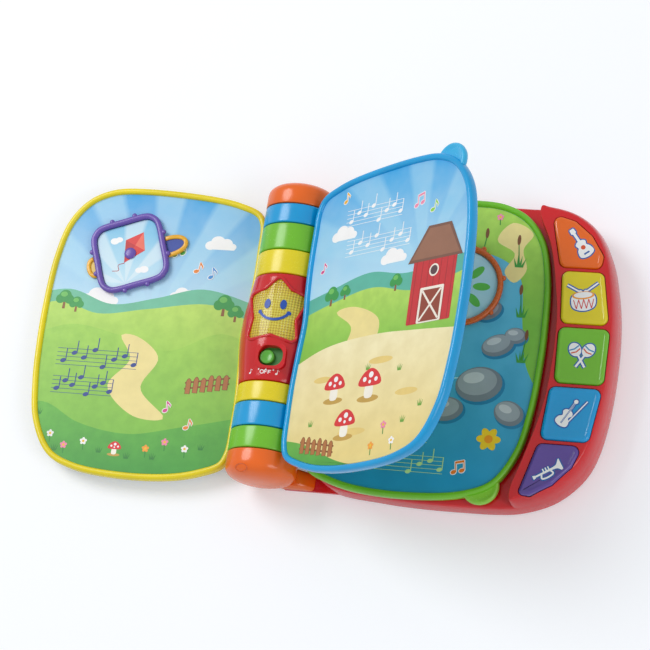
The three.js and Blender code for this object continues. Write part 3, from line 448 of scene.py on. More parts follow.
def field_film(name, low_code, high_code, span, size=110.0):
    """Printed ground: a shade that changes up the page, with soft tufts."""
    made = Shader(name)
    _, y, _ = made.axes()
    base = made.blend(made.span(y, span[0] * MM, span[1] * MM), colour(low_code), colour(high_code))
    tufts = made.span(made.noise(size, 4), 0.35, 0.65, 0, 0.3)
    made.feed(made.surface.inputs["Base Color"], made.blend(tufts, base, tinted(low_code, -0.25)))
    return made.satin()


RED = moulded("red_shell", "d8121c")
DEEP_RED = moulded("red_barrel", "d3121c", 0.1, 0.18)
ORANGE = moulded("orange_cap", "f26a10", 0.16, 0.26)
YELLOW = moulded("yellow_rim", "f0dc1c", 0.2, 0.3)
GREEN = moulded("green_rim", "74c42a", 0.18, 0.28)
BLUE = moulded("blue_rim", "00a2e2", 0.16, 0.26)
PALE_BLUE = moulded("blue_tab", "35b8ec", 0.2, 0.3)
PALE_GREEN = moulded("green_tab", "8fd045", 0.2, 0.3)
PURPLE = moulded("purple_frame", "6b52b0", 0.2, 0.3)
BROWN = moulded("brown_ring", "c85c1c", 0.22, 0.32)
AMBER = moulded("amber_grip", "f2b52c", 0.2, 0.3)
# Near-black for the insides of the base's hollows: painted shade, where the real shell is red plastic.
HOLLOW_SHADE = moulded("painted_shade_hollow", "22242a", 0.4, 0.6)


# Places

SPINE = Matrix.Translation((SHIFT_X, 0, AXIS_Z))
MODEL = Matrix.Translation((SHIFT_X, 0, 0))


def leaf_place(colour_name):
    return SPINE @ Matrix.Rotation(-math.radians(ANGLES[colour_name]), 4, "Y")


def face_place(colour_name, side):
    """A leaf's face: X to the right and Y up as the reader sees it, Z out of the page."""
    flip = Matrix.Identity(4) if side > 0 else Matrix.Rotation(math.pi, 4, "Y")
    return leaf_place(colour_name) @ Matrix.Translation((0, 0, OFFSETS[colour_name])) @ flip


def raw(name, parts):
    """An object from (solid, place, material) parts."""
    mesh = bpy.data.meshes.new(name)
    shape = bmesh.new()
    materials = []
    for (verts, faces), place, material in parts:
        if material not in materials:
            materials.append(material)
        own = [shape.verts.new((place @ Vector(v)) * MM) for v in verts]
        made = []
        for face in faces:
            new = shape.faces.new([own[i] for i in face])
            new.material_index = materials.index(material)
            made.append(new)
        bmesh.ops.remove_doubles(shape, verts=own, dist=1e-7)
    bmesh.ops.recalc_face_normals(shape, faces=shape.faces)
    shape.to_mesh(mesh)
    shape.free()
    for material in materials:
        mesh.materials.append(material)
    made = bpy.data.objects.new(name, mesh)
    bpy.context.scene.collection.objects.link(made)
    return made


def carve(target, cutter, operation="DIFFERENCE"):
    modifier = target.modifiers.new("carve", "BOOLEAN")
    modifier.object = cutter
    modifier.operation = operation
    modifier.solver = "EXACT"
    modifier.material_mode = "TRANSFER"
    shape = bpy.data.meshes.new_from_object(target.evaluated_get(bpy.context.evaluated_depsgraph_get()))
    target.modifiers.clear()
    target.data = shape
    bpy.data.objects.remove(cutter)
    return target


def finished(piece, body, replaces=(), sharp=38):
    piece.data.shade_smooth()
    piece.data.set_sharp_from_angle(angle=math.radians(sharp))
    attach(piece, body)
    if replaces:
        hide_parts(*replaces)
    return piece


def build(name, parts, body, replaces=(), sharp=38):
    return finished(raw(name, parts), body, replaces, sharp)


# Camera, light and floor

def set_camera():
    camera = bpy.data.objects.new("camera", bpy.data.cameras.new("camera"))
    bpy.context.scene.collection.objects.link(camera)
    right, up, back = (0.9636, 0.1429, -0.2262), (-0.0636, 0.9436, 0.3251), (0.2598, -0.2988, 0.9183)
    turn = Matrix((right, up, back)).transposed().to_4x4()
    camera.matrix_world = Matrix.Translation((0.3576, -0.5235, 1.6676)) @ turn
    camera.data.lens = 135.68
    camera.data.sensor_width = 36
    bpy.context.scene.camera = camera


def lamp(name, place, size, power, aim=(0, 0, 0.03)):
    data = bpy.data.lights.new(name, "AREA")
    data.shape = "DISK"
    data.size = size
    data.energy = power
    made = bpy.data.objects.new(name, data)
    bpy.context.scene.collection.objects.link(made)
    made.location = place
    made.rotation_euler = (Vector(aim) - Vector(place)).to_track_quat("-Z", "Y").to_euler()


def seen_factor(tree):
    """1 for what the camera, a mirror or glass sees."""
    path = tree.nodes.new("ShaderNodeLightPath")
    seen = path.outputs["Is Camera Ray"]
    for kind in ("Is Glossy Ray", "Is Transmission Ray"):
        larger = tree.nodes.new("ShaderNodeMath")
        larger.operation = "MAXIMUM"
        tree.links.new(seen, larger.inputs[0])
        tree.links.new(path.outputs[kind], larger.inputs[1])
        seen = larger.outputs[0]
    return seen


def split_seen(tree, plain, seen, output):
    """One shader for what is seen, and another for the light that it gives off."""
    mix = tree.nodes.new("ShaderNodeMixShader")
    for socket, source in zip(mix.inputs, (seen_factor(tree), plain, seen)):
        tree.links.new(source, socket)
    tree.links.new(mix.outputs[0], tree.nodes[output].inputs["Surface"])


def set_stage():
    world = bpy.data.worlds.new("studio")
    bpy.context.scene.world = world
    world.use_nodes = True
    tree = world.node_tree
    plain = tree.nodes["Background"]
    plain.inputs["Color"].default_value = (1, 1, 1, 1)
    plain.inputs["Strength"].default_value = 0.5
    white = tree.nodes.new("ShaderNodeBackground")
    white.inputs["Strength"].default_value = 1
    split_seen(tree, plain.outputs[0], white.outputs[0], "World Output")

    mesh = bpy.data.meshes.new("floor")
    mesh.from_pydata([(-4, -4, 0), (4, -4, 0), (4, 4, 0), (-4, 4, 0)], [], [(0, 1, 2, 3)])
    floor = bpy.data.objects.new("floor", mesh)
    bpy.context.scene.collection.objects.link(floor)
    paper = bpy.data.materials.new("paper")
    paper.use_nodes = True
    tree = paper.node_tree
    surface = tree.nodes["Principled BSDF"]
    surface.inputs["Roughness"].default_value = 0.9
    surface.inputs["Specular IOR Level"].default_value = 0.1
    surface.inputs["Base Color"].default_value = (0.8, 0.83, 0.88, 1)
    glow = tree.nodes.new("ShaderNodeEmission")
    glow.inputs["Strength"].default_value = 0.26
    both = tree.nodes.new("ShaderNodeAddShader")
    tree.links.new(surface.outputs[0], both.inputs[0])
    tree.links.new(glow.outputs[0], both.inputs[1])
    split_seen(tree, surface.outputs[0], both.outputs[0], "Material Output")
    mesh.materials.append(paper)

    lamp("key_lamp", (-1.4, 0.7, 1.6), 1.1, 19)
    lamp("side_lamp", (1.3, -0.6, 1.2), 1.0, 7)
    bpy.context.scene.view_settings.view_transform = "Standard"


set_camera()
set_stage()


# Leaves

LEAF = smooth_loop([
    (LEAF_INNER + 3.5, 2), (LEAF_INNER + 1.6, 24), (LEAF_INNER + 0.4, 45),
    (LEAF_INNER + 0.6, 70), (LEAF_INNER + 1.6, LEAF_TOP - 24), (LEAF_INNER + 7, LEAF_TOP - 14.5),
    (LEAF_INNER + 22, LEAF_TOP - 8), (LEAF_INNER + 44, LEAF_TOP - 3.6),
    (LEAF_OUTER - 66, LEAF_TOP), (LEAF_OUTER - 41, LEAF_TOP - 2.2), (LEAF_OUTER - 22.7, LEAF_TOP - 11.2),
    (LEAF_OUTER - 9.2, LEAF_TOP - 29), (LEAF_OUTER - 2.4, LEAF_TOP - 56), (LEAF_OUTER, 17),
    (LEAF_OUTER - 0.5, -14), (LEAF_OUTER - 2.8, LEAF_BOTTOM + 70), (LEAF_OUTER - 9.1, LEAF_BOTTOM + 39),
    (LEAF_OUTER - 24.4, LEAF_BOTTOM + 14.2), (LEAF_OUTER - 46, LEAF_BOTTOM + 4.3),
    (LEAF_OUTER - 86, LEAF_BOTTOM), (LEAF_INNER + 44, LEAF_BOTTOM + 1.8),
    (LEAF_INNER + 22, LEAF_BOTTOM + 7), (LEAF_INNER + 6, LEAF_BOTTOM + 14.5),
    (LEAF_INNER + 1.2, LEAF_BOTTOM + 25), (LEAF_INNER + 0.2, -68), (LEAF_INNER, -50),
    (LEAF_INNER + 1.4, -24)], 240)


def collar(start, end):
    """A ring of a leaf that turns on the spine."""
    low, high = min(start, end) + GAP, max(start, end) - GAP
    bend = 1.1
    outline = [(BORE_RADIUS, low)]
    for corner, turn in ((low + bend, -90), (high - bend, 0)):
        outline += [polar(bend, turn + 15 * k, RING_RADIUS - bend, corner) for k in range(7)]
    outline.append((BORE_RADIUS, high))
    return revolve(outline, 120)


def arm(start, end, offset):
    """The knuckle between a ring and its leaf, rounded off at its ends."""
    low, high = min(start, end) + 0.9, max(start, end) - 0.9
    outline = rounded_loop(box(22.8, offset - 3.4, LEAF_INNER + 4, offset + 3.4), 1.6, 5)
    layers = [(0.8, low), (0.2, low + 0.3), (0, low + 0.9), (0, high - 0.9), (0.2, high - 0.3), (0.8, high)]
    verts, faces = loft([(inset(outline, d), z) for d, z in layers])
    return [(x, z, y) for x, y, z in verts], faces


def finger_tab(x, y):
    return upright(x, y, [(0, -2.5), (12.6, -2.5), (13.3, -2), (13.8, -0.6), (13.8, 0.8), (13.4, 1.9),
                          (12.6, 2.45), (11.6, 2.4), (10.6, 1.8), (9, 1.3), (6, 1.12), (0, 1.1)], 72)


def leaf(colour_name, material, ring_ends, tab=None, tab_material=None):
    place = leaf_place(colour_name)
    offset = OFFSETS[colour_name]
    middle = place @ Matrix.Translation((0, 0, offset))
    parts = [(rim(LEAF, RIM_WIDTH, -HALF_LEAF, HALF_LEAF), middle, material),
             (slab(inset(LEAF, 4), -WEB_FACE, WEB_FACE), middle, material)]
    for start, end in ring_ends:
        parts.append((collar(start, end), place, material))
        parts.append((arm(start, end, offset), place, material))
    nodes = [colour_name + end for end in ("_leaf", "_ring_upper", "_ring_lower")]
    made = raw(colour_name + "_leaf_body", parts)
    if tab:
        grip = raw("tab", [(finger_tab(*tab), middle, tab_material)])
        page_space = raw("page_space", [(slab(inset(LEAF, 4.6), -9, 9), middle, material)])
        carve(made, carve(grip, page_space), "UNION")
    return finished(made, "leaf_" + colour_name, nodes)


leaf("green", GREEN, [TOP_RINGS[1:3], BOTTOM_RINGS[2:4]], (160, -100), PALE_GREEN)
leaf("blue", BLUE, [TOP_RINGS[2:4], BOTTOM_RINGS[1:3]], (162, 104.5), PALE_BLUE)
leaf("yellow", YELLOW, [TOP_RINGS[0:2], BOTTOM_RINGS[0:2]])


# Printed pages: thin shapes in layers on a sheet

class Page:
    def __init__(self, colour_name, side, sheet):
        self.place = face_place(colour_name, side)
        self.body = "leaf_" + colour_name
        border = [(x * side, y) for x, y in inset(LEAF, 4.85)]
        self.border = anticlockwise(border)
        self.clip_to = hull(inset(self.border, 0.15))
        self.drawn = 0
        self.parts = [(slab(self.border, LABEL_LOW, LABEL_TOP), self.place, sheet)]

    def draw(self, loop, layer, material, clipped=False):
        if clipped:
            loop = clip(loop, self.clip_to)
        if len(loop) < 3:
            return
        if isinstance(material, str):
            material = ink(material)
        self.drawn += 1
        height = LABEL_TOP + LAYER * layer + STEP * (self.drawn % 12)
        self.parts.append((slab(loop, LABEL_TOP - 0.1, height), self.place, material))

    def hill(self, crest, layer, material):
        """Ground below a smooth crest, down to the page's edge."""
        line = smooth_line(crest, 8)
        self.draw(line[::-1] + [(line[0][0], -130), (line[-1][0], -130)], layer, material, True)

    def finish(self, name, node):
        build(name, self.parts, self.body, [node])


def cloud(page, x, y, size, layer, code="ffffff"):
    for dx, dy, r in ((-1.1, -0.1, 0.55), (-0.35, 0.3, 0.75), (0.55, 0.15, 0.65), (1.2, -0.15, 0.42)):
        page.draw(ellipse(x + dx * size, y + dy * size, r * size, r * size * 0.85), layer, code)
    foot = turned([(-1.6, -0.5), (1.6, -0.5), (1.5, 0.1), (-1.5, 0.1)], 0, x, y, size)
    page.draw(rounded_loop(foot, 0.3 * size), layer, code)


def note(page, x, y, size, code, layer=8, turn=0, pair=False):
    """A music note, or a pair under one beam, with a white edge."""
    shapes = [ellipse(0, 0, 0.5, 0.36, 20, 18), box(0.36, 0, 0.52, 1.9)]
    if pair:
        shapes += [ellipse(1.5, 0.2, 0.5, 0.36, 20, 18), box(1.86, 0.2, 2.02, 2.1),
                   [(0.36, 1.5), (2.02, 1.7), (2.02, 2.1), (0.36, 1.9)]]
    else:
        shapes.append([(0.5, 1.9), (0.5, 1.4), (0.95, 1.0), (1.05, 0.55), (1.2, 1.05), (0.85, 1.5)][::-1])
    for shape in shapes:
        loop = anticlockwise(turned(shape, turn, x, y, size))
        page.draw(inset(loop, -0.5), layer, "ffffff")
        page.draw(loop, layer + 1, code)


def stave(page, left, right, y, pitch, code, layer=6):
    """Five ruled lines with a few plain notes."""
    for k in range(5):
        page.draw(box(left, y + k * pitch - 0.16, right, y + k * pitch + 0.16), layer, code)
    steps = (1, 3, 2, 4, 0, 2, 3, 1)
    for i, step in enumerate(steps):
        x = left + (right - left) * (i + 0.7) / len(steps)
        top = y + step * pitch
        page.draw(ellipse(x, top, pitch * 0.72, pitch * 0.5, 20, 16), layer + 1, code)
        page.draw(box(x + pitch * 0.5, top, x + pitch * 0.7, top + 3 * pitch), layer + 1, code)


def flower(page, x, y, size, code, layer=7, heart="f7c52e"):
    page.draw(stroke([(x, y), (x + 0.2 * size, y - 2.6 * size)], 0.28 * size), layer - 1, "2f8a36")
    for k in range(5):
        page.draw(ellipse(*polar(0.62 * size, 72 * k + 18, x, y), 0.5 * size, 0.42 * size, 72 * k + 18, 14),
                  layer, code)
    page.draw(ellipse(x, y, 0.38 * size, count=14), layer + 1, heart)


def tree(page, x, y, size, code, light, layer=5):
    trunk = [(-0.14, 0), (0.14, 0), (0.1, 1), (-0.1, 1)]
    page.draw(turned(trunk, 0, x, y, size), layer, "8a5a2c")
    for dx, dy, r in ((0, 1.25, 0.62), (-0.45, 0.95, 0.45), (0.45, 0.95, 0.45)):
        page.draw(ellipse(x + dx * size, y + dy * size, r * size), layer + 1, code)
    page.draw(ellipse(x - 0.12 * size, y + 1.42 * size, 0.34 * size, 0.26 * size), layer + 2, light)


def fence(page, left, right, y, height, count, layer=8, rise=0.0):
    """Rounded pickets on two rails."""
    for low, high in ((0.25 * height, 0.35 * height), (0.6 * height, 0.7 * height)):
        page.draw([(left, y + low), (right, y + rise + low), (right, y + rise + high), (left, y + high)],
                  layer, "8a4f22")
    width = (right - left) / count
    for i in range(count):
        x = left + width * (i + 0.12)
        base = y + rise * i / count
        tall = height * (0.94 + 0.06 * math.sin(2.4 * i))
        loop = [(x + width * px, base + tall * py) for px, py in
                ((0, 0), (0.72, 0), (0.72, 0.8), (0.55, 0.95), (0.36, 1), (0.17, 0.95), (0, 0.8))]
        page.draw(loop, layer + 1, "6d3b18")
        page.draw(inset(loop, 0.35), layer + 2, "b4713a")


def toadstool(page, x, y, size, layer=7):
    page.draw(ellipse(x, y - 0.1 * size, 0.9 * size, 0.22 * size), layer - 1, "c9a24a")
    stem = turned([(-0.3, 0), (0.3, 0), (0.22, 0.9), (-0.22, 0.9)], 0, x, y, size)
    page.draw(smooth_loop(stem, 20), layer, "fff8ea")
    dome = [(-0.95, 0.8), (0, 0.66), (0.95, 0.8), (0.62, 1.45), (0, 1.75), (-0.62, 1.45)]
    page.draw(smooth_loop(turned(dome, 0, x, y, size), 36), layer + 1, "dd2a2f")
    for dx, dy, r in ((-0.45, 1.1, 0.15), (0.05, 1.35, 0.19), (0.5, 1.05, 0.14), (0, 0.92, 0.11)):
        page.draw(ellipse(x + dx * size, y + dy * size, r * size, count=14), layer + 2, "ffffff")


def tuft(page, x, y, size, code, layer=7):
    for lean in (-0.5, -0.15, 0.2, 0.55):
        page.draw([(x + lean * 0.4 * size - 0.12 * size, y), (x + lean * 0.4 * size + 0.12 * size, y),
                   (x + lean * size, y + size * (1.1 - abs(lean) * 0.5))], layer, code)


def stone(page, x, y, rx, ry, turn=0, layer=5):
    page.draw(ellipse(x + 1.2, y - 1.6, rx * 1.06, ry * 1.06, turn), layer - 1, "1c7fae")
    page.draw(ellipse(x, y, rx, ry, turn), layer, "77838f")
    page.draw(ellipse(x - rx * 0.08, y + ry * 0.14, rx * 0.84, ry * 0.78, turn), layer + 1, "9aa6b1")
    page.draw(ellipse(x - rx * 0.25, y + ry * 0.35, rx * 0.45, ry * 0.32, turn), layer + 2, "c3ccd3")


def meadow_page():
    sky = sky_film("sky_meadow", "c8ecfb", "22a4e6", "b4e4fa", (-245, 8), (5, 108))
    page = Page("yellow", -1, sky)
    cloud(page, -150, 24, 9, 1)
    cloud(page, -62, 72, 7.5, 1)
    cloud(page, -84, 30, 7, 1)
    page.hill([(-210, 22), (-175, 30), (-140, 20), (-105, 27), (-70, 36), (-20, 24)], 2, "6fc2a0")
    page.hill([(-210, 12), (-180, 20), (-150, 12), (-110, 18), (-60, 24), (-20, 8)], 3,
              field_film("far_field", "9bd34e", "c5e86b", (-30, 25)))
    for x, y, size in ((-178, 14, 8), (-168, 12, 6.5), (-52, 16, 9), (-42, 12, 7)):
        tree(page, x, y, size, "2f9a46", "6cc05a")
    page.hill([(-210, -14), (-170, 2), (-130, -4), (-90, -14), (-50, 2), (-20, -8)], 8,
              field_film("near_field", "7cc142", "a9db58", (-90, 0)))
    page.draw(smooth_loop([(-128, -4), (-118, -22), (-132, -44), (-108, -66), (-84, -66), (-106, -44),
                           (-96, -20), (-116, -4)], 60), 9, "f3e39a")
    page.hill([(-210, -66), (-180, -60), (-150, -74), (-110, -80), (-70, -72), (-20, -60)], 10,
              field_film("front_field", "3f9f3c", "6cbd45", (-110, -60)))
    fence(page, -72, -38, -46, 13, 6, 11, 6)
    stave(page, -176, -112, -30, 3.2, "1d3f8f", 11)
    stave(page, -176, -128, -52, 3.2, "1d3f8f", 11)
    for x, y, code in ((-170, -84, "f2f2f2"), (-158, -92, "f58fb2"), (-143, -88, "ffffff"),
                       (-94, -90, "f7a338"), (-80, -84, "f58fb2"), (-64, -88, "ffffff")):
        flower(page, x, y, 2.6, code, 12)
    for x, y in ((-165, -97), (-130, -96), (-108, -99), (-88, -98), (-52, -88), (-182, -70)):
        tuft(page, x, y, 5, "2d8434", 12)
    toadstool(page, -118, -96, 5.5, 12)
    note(page, -97, 62, 4.2, "3fa23d", 8, 8, True)
    note(page, -78, 50, 4, "e6842a", 8, -6)
    note(page, -66, 46, 4, "3f8fd6", 8, 6)
    note(page, -84, -60, 3.8, "d9478f", 12, 8)
    note(page, -66, -72, 3.8, "f08a2c", 12, -5)
    page.finish("meadow_page", "yellow_page_inside")


def farm_page():
    sky = sky_film("sky_farm", "bfe9fb", "27a8e8", "a8e0f9", (-20, 28), (10, 108), 12, 0.4)
    page = Page("blue", 1, sky)
    cloud(page, 62, 66, 8, 1)
    cloud(page, 118, 40, 8, 1)
    page.hill([(20, 16), (55, 24), (95, 32), (135, 26), (200, 34)], 2, "58b7a2")
    page.hill([(20, 4), (60, 14), (100, 20), (145, 12), (200, 22)], 3,
              field_film("farm_far", "8ccb48", "bfe566", (-20, 20)))
    page.draw(smooth_loop([(66, 6), (84, -8), (80, -24), (108, -24), (112, -6), (84, 8)], 50), 4, "f2e196")
    for x, y, size in ((58, 12, 8), (72, 15, 6), (124, 14, 7)):
        tree(page, x, y, size, "2f9a46", "6cc05a")
    page.draw(rounded_loop(box(140, -14, 182, 34), 1.2, 3), 8, "c8242c")
    for k in range(7):
        page.draw(box(143 + 6 * k, -13.5, 143.6 + 6 * k, 33), 9, "a51b24")
    page.draw([(134, 32), (187, 32), (172, 58), (150, 58)], 10, "7a5140")
    page.draw([(137, 34), (184, 34), (170.5, 56), (151.5, 56)], 11, "96674f")
    page.draw(rounded_loop(box(150, -14, 173, 12), 1, 3), 11, "f6efe2")
    page.draw(rounded_loop(box(152, -13, 171, 10), 1, 3), 12, "8f3a22")
    page.draw(stroke([(152.5, -12), (170.5, 9.5)], 1.6), 13, "f6efe2")
    page.draw(stroke([(152.5, 9.5), (170.5, -12)], 1.6), 13, "f6efe2")
    page.draw(ellipse(161, 24, 4.6), 11, "f6efe2")
    page.draw(ellipse(161, 24, 3.4), 12, "53343a")
    page.hill([(20, -34), (60, -20), (110, -16), (150, -18), (200, -22)], 14,
              field_film("farm_ground", "f4de8f", "fdf3c4", (-100, -20), 70.0))
    for x, y, rx, ry in ((62, -44, 9, 2.4), (120, -36, 12, 2.6), (150, -62, 11, 2.6), (100, -86, 14, 2.8)):
        page.draw(ellipse(x, y, rx, ry), 15, "ecd07c")
    for x, y, size in ((76, -60, 11), (112, -62, 12), (92, -88, 11)):
        toadstool(page, x, y, size, 17)
    page.hill([(20, -84), (50, -90), (90, -106), (120, -112), (160, -112), (200, -96)], 16,
              field_film("farm_front", "4aa63f", "7cc24a", (-110, -80)))
    fence(page, 48, 84, -97, 13, 6, 17, -6)
    for x, y, code in ((132, -84, "f58fb2"), (142, -96, "ffffff"), (122, -98, "f7a338")):
        flower(page, x, y, 2.6, code, 18)
    for x, y in ((56, -78), (150, -84), (165, -74), (108, -42), (140, -46)):
        tuft(page, x, y, 5, "6aa83a", 17)
    stave(page, 62, 120, 72, 3, "ffffff", 3)
    stave(page, 66, 132, 48, 3, "ffffff", 3)
    note(page, 58, 92, 3.8, "f2b52d", 4, 8)
    note(page, 134, 76, 4, "f58fb2", 4, 8, True)
    note(page, 151, 70, 4, "8ed04b", 4, -6)
    note(page, 44, 40, 3.6, "d9478f", 4, 5)
    page.finish("farm_page", "blue_page_front")


def pond_page():
    water = field_film("pond_water", "1e9ccf", "6cc8e6", (-100, 90), 50.0)
    page = Page("green", 1, water)
    bank = [(20, 66), (60, 72), (100, 66), (140, 74), (168, 60), (176, 20), (182, -10), (200, -40)]
    line = smooth_line(bank, 8)
    page.draw(line[::-1] + [(20, 140), (240, 140), (240, -40)], 2,
              field_film("pond_bank", "7cc242", "b3df5b", (20, 100)), True)
    page.draw(smooth_loop([(160, 98), (150, 84), (164, 74), (158, 60), (166, 52), (174, 62), (170, 78),
                           (176, 90)], 50), 3, "f2e196")
    for y, left, right in ((56, 60, 96), (30, 70, 130), (4, 58, 110), (-24, 120, 160), (-50, 60, 100)):
        page.draw(stroke(smooth_line([(left, y), ((left + right) / 2, y + 2), (right, y)], 8), (1.4, 0.3)), 2,
                  "a8e0f2")
    for x, y, rx, ry, turn in ((150, -26, 17, 13, 10), (174, -46, 11, 9, -20), (160, 4, 12, 8, 20),
                               (172, 12, 8, 6, 0), (128, -46, 13, 9, 8), (150, 30, 10, 7, 25)):
        stone(page, x, y, rx, ry, turn)
    for x, y, r in ((96, -30, 9), (74, -14, 7), (110, -6, 6), (140, 52, 6)):
        page.draw(ellipse(x, y, r, r * 0.7), 4, "2f8f3a")
        page.draw(ellipse(x - 0.5, y + 0.6, r * 0.84, r * 0.56), 5, "5cb848")
    for k in range(6):
        page.draw(ellipse(*polar(4.4, 60 * k, 162, -66), 4.4, 2.8, 60 * k), 6, "f4d02c")
    page.draw(ellipse(162, -66, 3), 7, "f29a22")
    for x, y, lean in ((178, -6, 2), (174, 28, -2), (60, 66, 2), (72, 70, -3), (140, 70, 2), (168, 66, -2)):
        page.draw(stroke([(x, y), (x + lean, y + 17)], (1, 0.6)), 6, "2f8a36")
        page.draw(ellipse(x + lean, y + 19, 1.3, 4), 7, "7a4a24")
        tuft(page, x, y - 2, 9, "3c9a3a", 6)
    stave(page, 66, 118, -72, 3, "bfe9a0", 5)
    stave(page, 72, 132, -94, 3, "bfe9a0", 5)
    note(page, 140, -92, 4, "f07d28", 7, 8, True)
    note(page, 100, 88, 3.8, "ffffff", 7, 5)
    flower(page, 150, 102, 2.4, "f58fb2", 7)
    flower(page, 128, 98, 2.4, "ffffff", 7)
    page.finish("pond_page", "green_page_front")


def plain_page(name, node, colour_name, side, sky_codes, hill_codes, note_codes):
    """A page that the photograph doesn't show: sky, two hills and a few notes."""
    middle = SHIFT_X + 110 * math.cos(math.radians(ANGLES[colour_name]))
    sky = sky_film("sky_" + name, *sky_codes, (middle, 0), (-20, 108), 12, 0.4)
    page = Page(colour_name, side, sky)
    left = 20 if side > 0 else -200
    page.hill([(left, -6), (left + 60, 12), (left + 120, 0), (left + 180, 10)], 2,
              field_film("hill_a_" + name, hill_codes[0], hill_codes[1], (-40, 12)))
    page.hill([(left, -40), (left + 50, -52), (left + 110, -38), (left + 180, -54)], 3,
              field_film("hill_b_" + name, hill_codes[2], hill_codes[3], (-110, -36)))
    cloud(page, left + 60, 58, 9, 1)
    cloud(page, left + 130, 34, 7, 1)
    for i, code in enumerate(note_codes):
        note(page, left + 40 + 34 * i, 66 - 22 * (i % 2), 6.5, code, 5, 8 - 5 * i, i % 2 == 0)
    petals = ("ffffff", "f58fb2", "f7a338")
    for i in range(7):
        flower(page, left + 36 + 19 * i, -78 + 5 * math.sin(2 * i), 3, petals[i % 3], 6)
    page.finish(name, node)


meadow_page()
farm_page()
pond_page()
NOTES = ["3fa23d", "e6842a", "3f8fd6", "d9478f"]
plain_page("blue_back_page", "blue_page_back", "blue", -1, ("d8f1fb", "49b3e6", "c9ecfb"),
           ("9bd34e", "c5e86b", "5cb04a", "8ccb48"), NOTES)
plain_page("green_back_page", "green_page_back", "green", -1, ("fdf1c0", "f7c95a", "fde9a6"),
           ("9bd34e", "c5e86b", "5cb04a", "8ccb48"), NOTES)
plain_page("cover_page", "yellow_page_cover", "yellow", 1, ("fdd68a", "f08a2e", "fbc06a"),
           ("6fc2e0", "9bd8ee", "3f9fd0", "6fc2e0"), ["3fa23d", "d7282d", "3f8fd6", "7d64b4"])


# Spine: barrel halves, star, switch and caps

def barrel_radius(y):
    along = min(1, max(0, (y - BARREL_BOTTOM) / (BARREL_TOP - BARREL_BOTTOM)))
    return RING_RADIUS + BARREL_BULGE * math.sin(math.pi * along) ** 1.3


def barrel_line(depth, ends, steps=40):
    low, high = BARREL_BOTTOM + ends, BARREL_TOP - ends
    return [(barrel_radius(low + (high - low) * k / steps) - depth, low + (high - low) * k / steps)
            for k in range(steps + 1)]


def on_barrel(x, y, height=0.0):
    r = barrel_radius(y) + height
    return (x, y, math.sqrt(max(r * r - x * x, 1)))


def wrapped(loop, low, high):
    """A print or inlay that follows the barrel's skin, as a fan about its middle."""
    count = len(loop)
    cx, cy = sum(p[0] for p in loop) / count, sum(p[1] for p in loop) / count
    verts = [on_barrel(x, y, low) for x, y in loop] + [on_barrel(x, y, high) for x, y in loop]
    verts += [on_barrel(cx, cy, low), on_barrel(cx, cy, high)]
    faces = []
    for i in range(count):
        j = (i + 1) % count
        faces += [(i, j, count + j, count + i), (j, i, 2 * count), (count + i, count + j, 2 * count + 1)]
    return verts, faces


def wrapped_stroke(points, width, low, high):
    band = stroke(points, width)
    half = len(points)
    right, left = band[:half], band[half:][::-1]
    verts = []
    for h in (low, high):
        for a, b in zip(right, left):
            verts += [on_barrel(*a, h), on_barrel(*b, h)]
    faces = []
    top = 2 * half
    for i in range(half - 1):
        a = 2 * i
        faces += [(a, a + 1, a + 3, a + 2), (top + a, top + a + 2, top + a + 3, top + a + 1),
                  (a, a + 2, top + a + 2, top + a), (a + 1, top + a + 1, top + a + 3, a + 3)]
    end = 2 * half - 2
    faces += [(0, top, top + 1, 1), (end, end + 1, top + end + 1, top + end)]
    return verts, faces


STAR = [(0, 36), (9.5, 26.5), (21.5, 23), (15.5, 4), (18, -12.5), (0, -8.5),
        (-18, -12.5), (-15.5, 4), (-21.5, 23), (-9.5, 26.5)]
STAR_LOOP = rounded_loop(STAR, 3, 8)
SLOT_LOOP = rounded_loop(box(-7, -32, 11.5, -17), 6.8, 10)
KNOB_PLACE = (-1.2, -24.5)
END_BEND = 1.2


def spine_outline():
    outer = barrel_line(0, GAP + END_BEND)
    low, high = BARREL_BOTTOM + GAP, BARREL_TOP - GAP
    bevel_low = [(outer[0][0] - END_BEND, low), (outer[0][0] - 0.35, low + 0.35)]
    bevel_high = [(outer[-1][0] - 0.35, high - 0.35), (outer[-1][0] - END_BEND, high)]
    ends = (BOTTOM_RINGS[-1] + GAP, TOP_RINGS[-1] - GAP)
    line = [(JOURNAL_RADIUS, ends[0]), (JOURNAL_RADIUS, low)] + bevel_low + outer + bevel_high
    line += [(JOURNAL_RADIUS, high), (JOURNAL_RADIUS, ends[1])]
    inner = [(r - BARREL_WALL, y) for r, y in barrel_line(0, GAP + BARREL_WALL, 10)]
    wall = JOURNAL_RADIUS - BARREL_WALL
    return line + [(wall, ends[1]), (wall, high - BARREL_WALL)] + inner[::-1] + [
        (wall, low + BARREL_WALL), (wall, ends[0])]


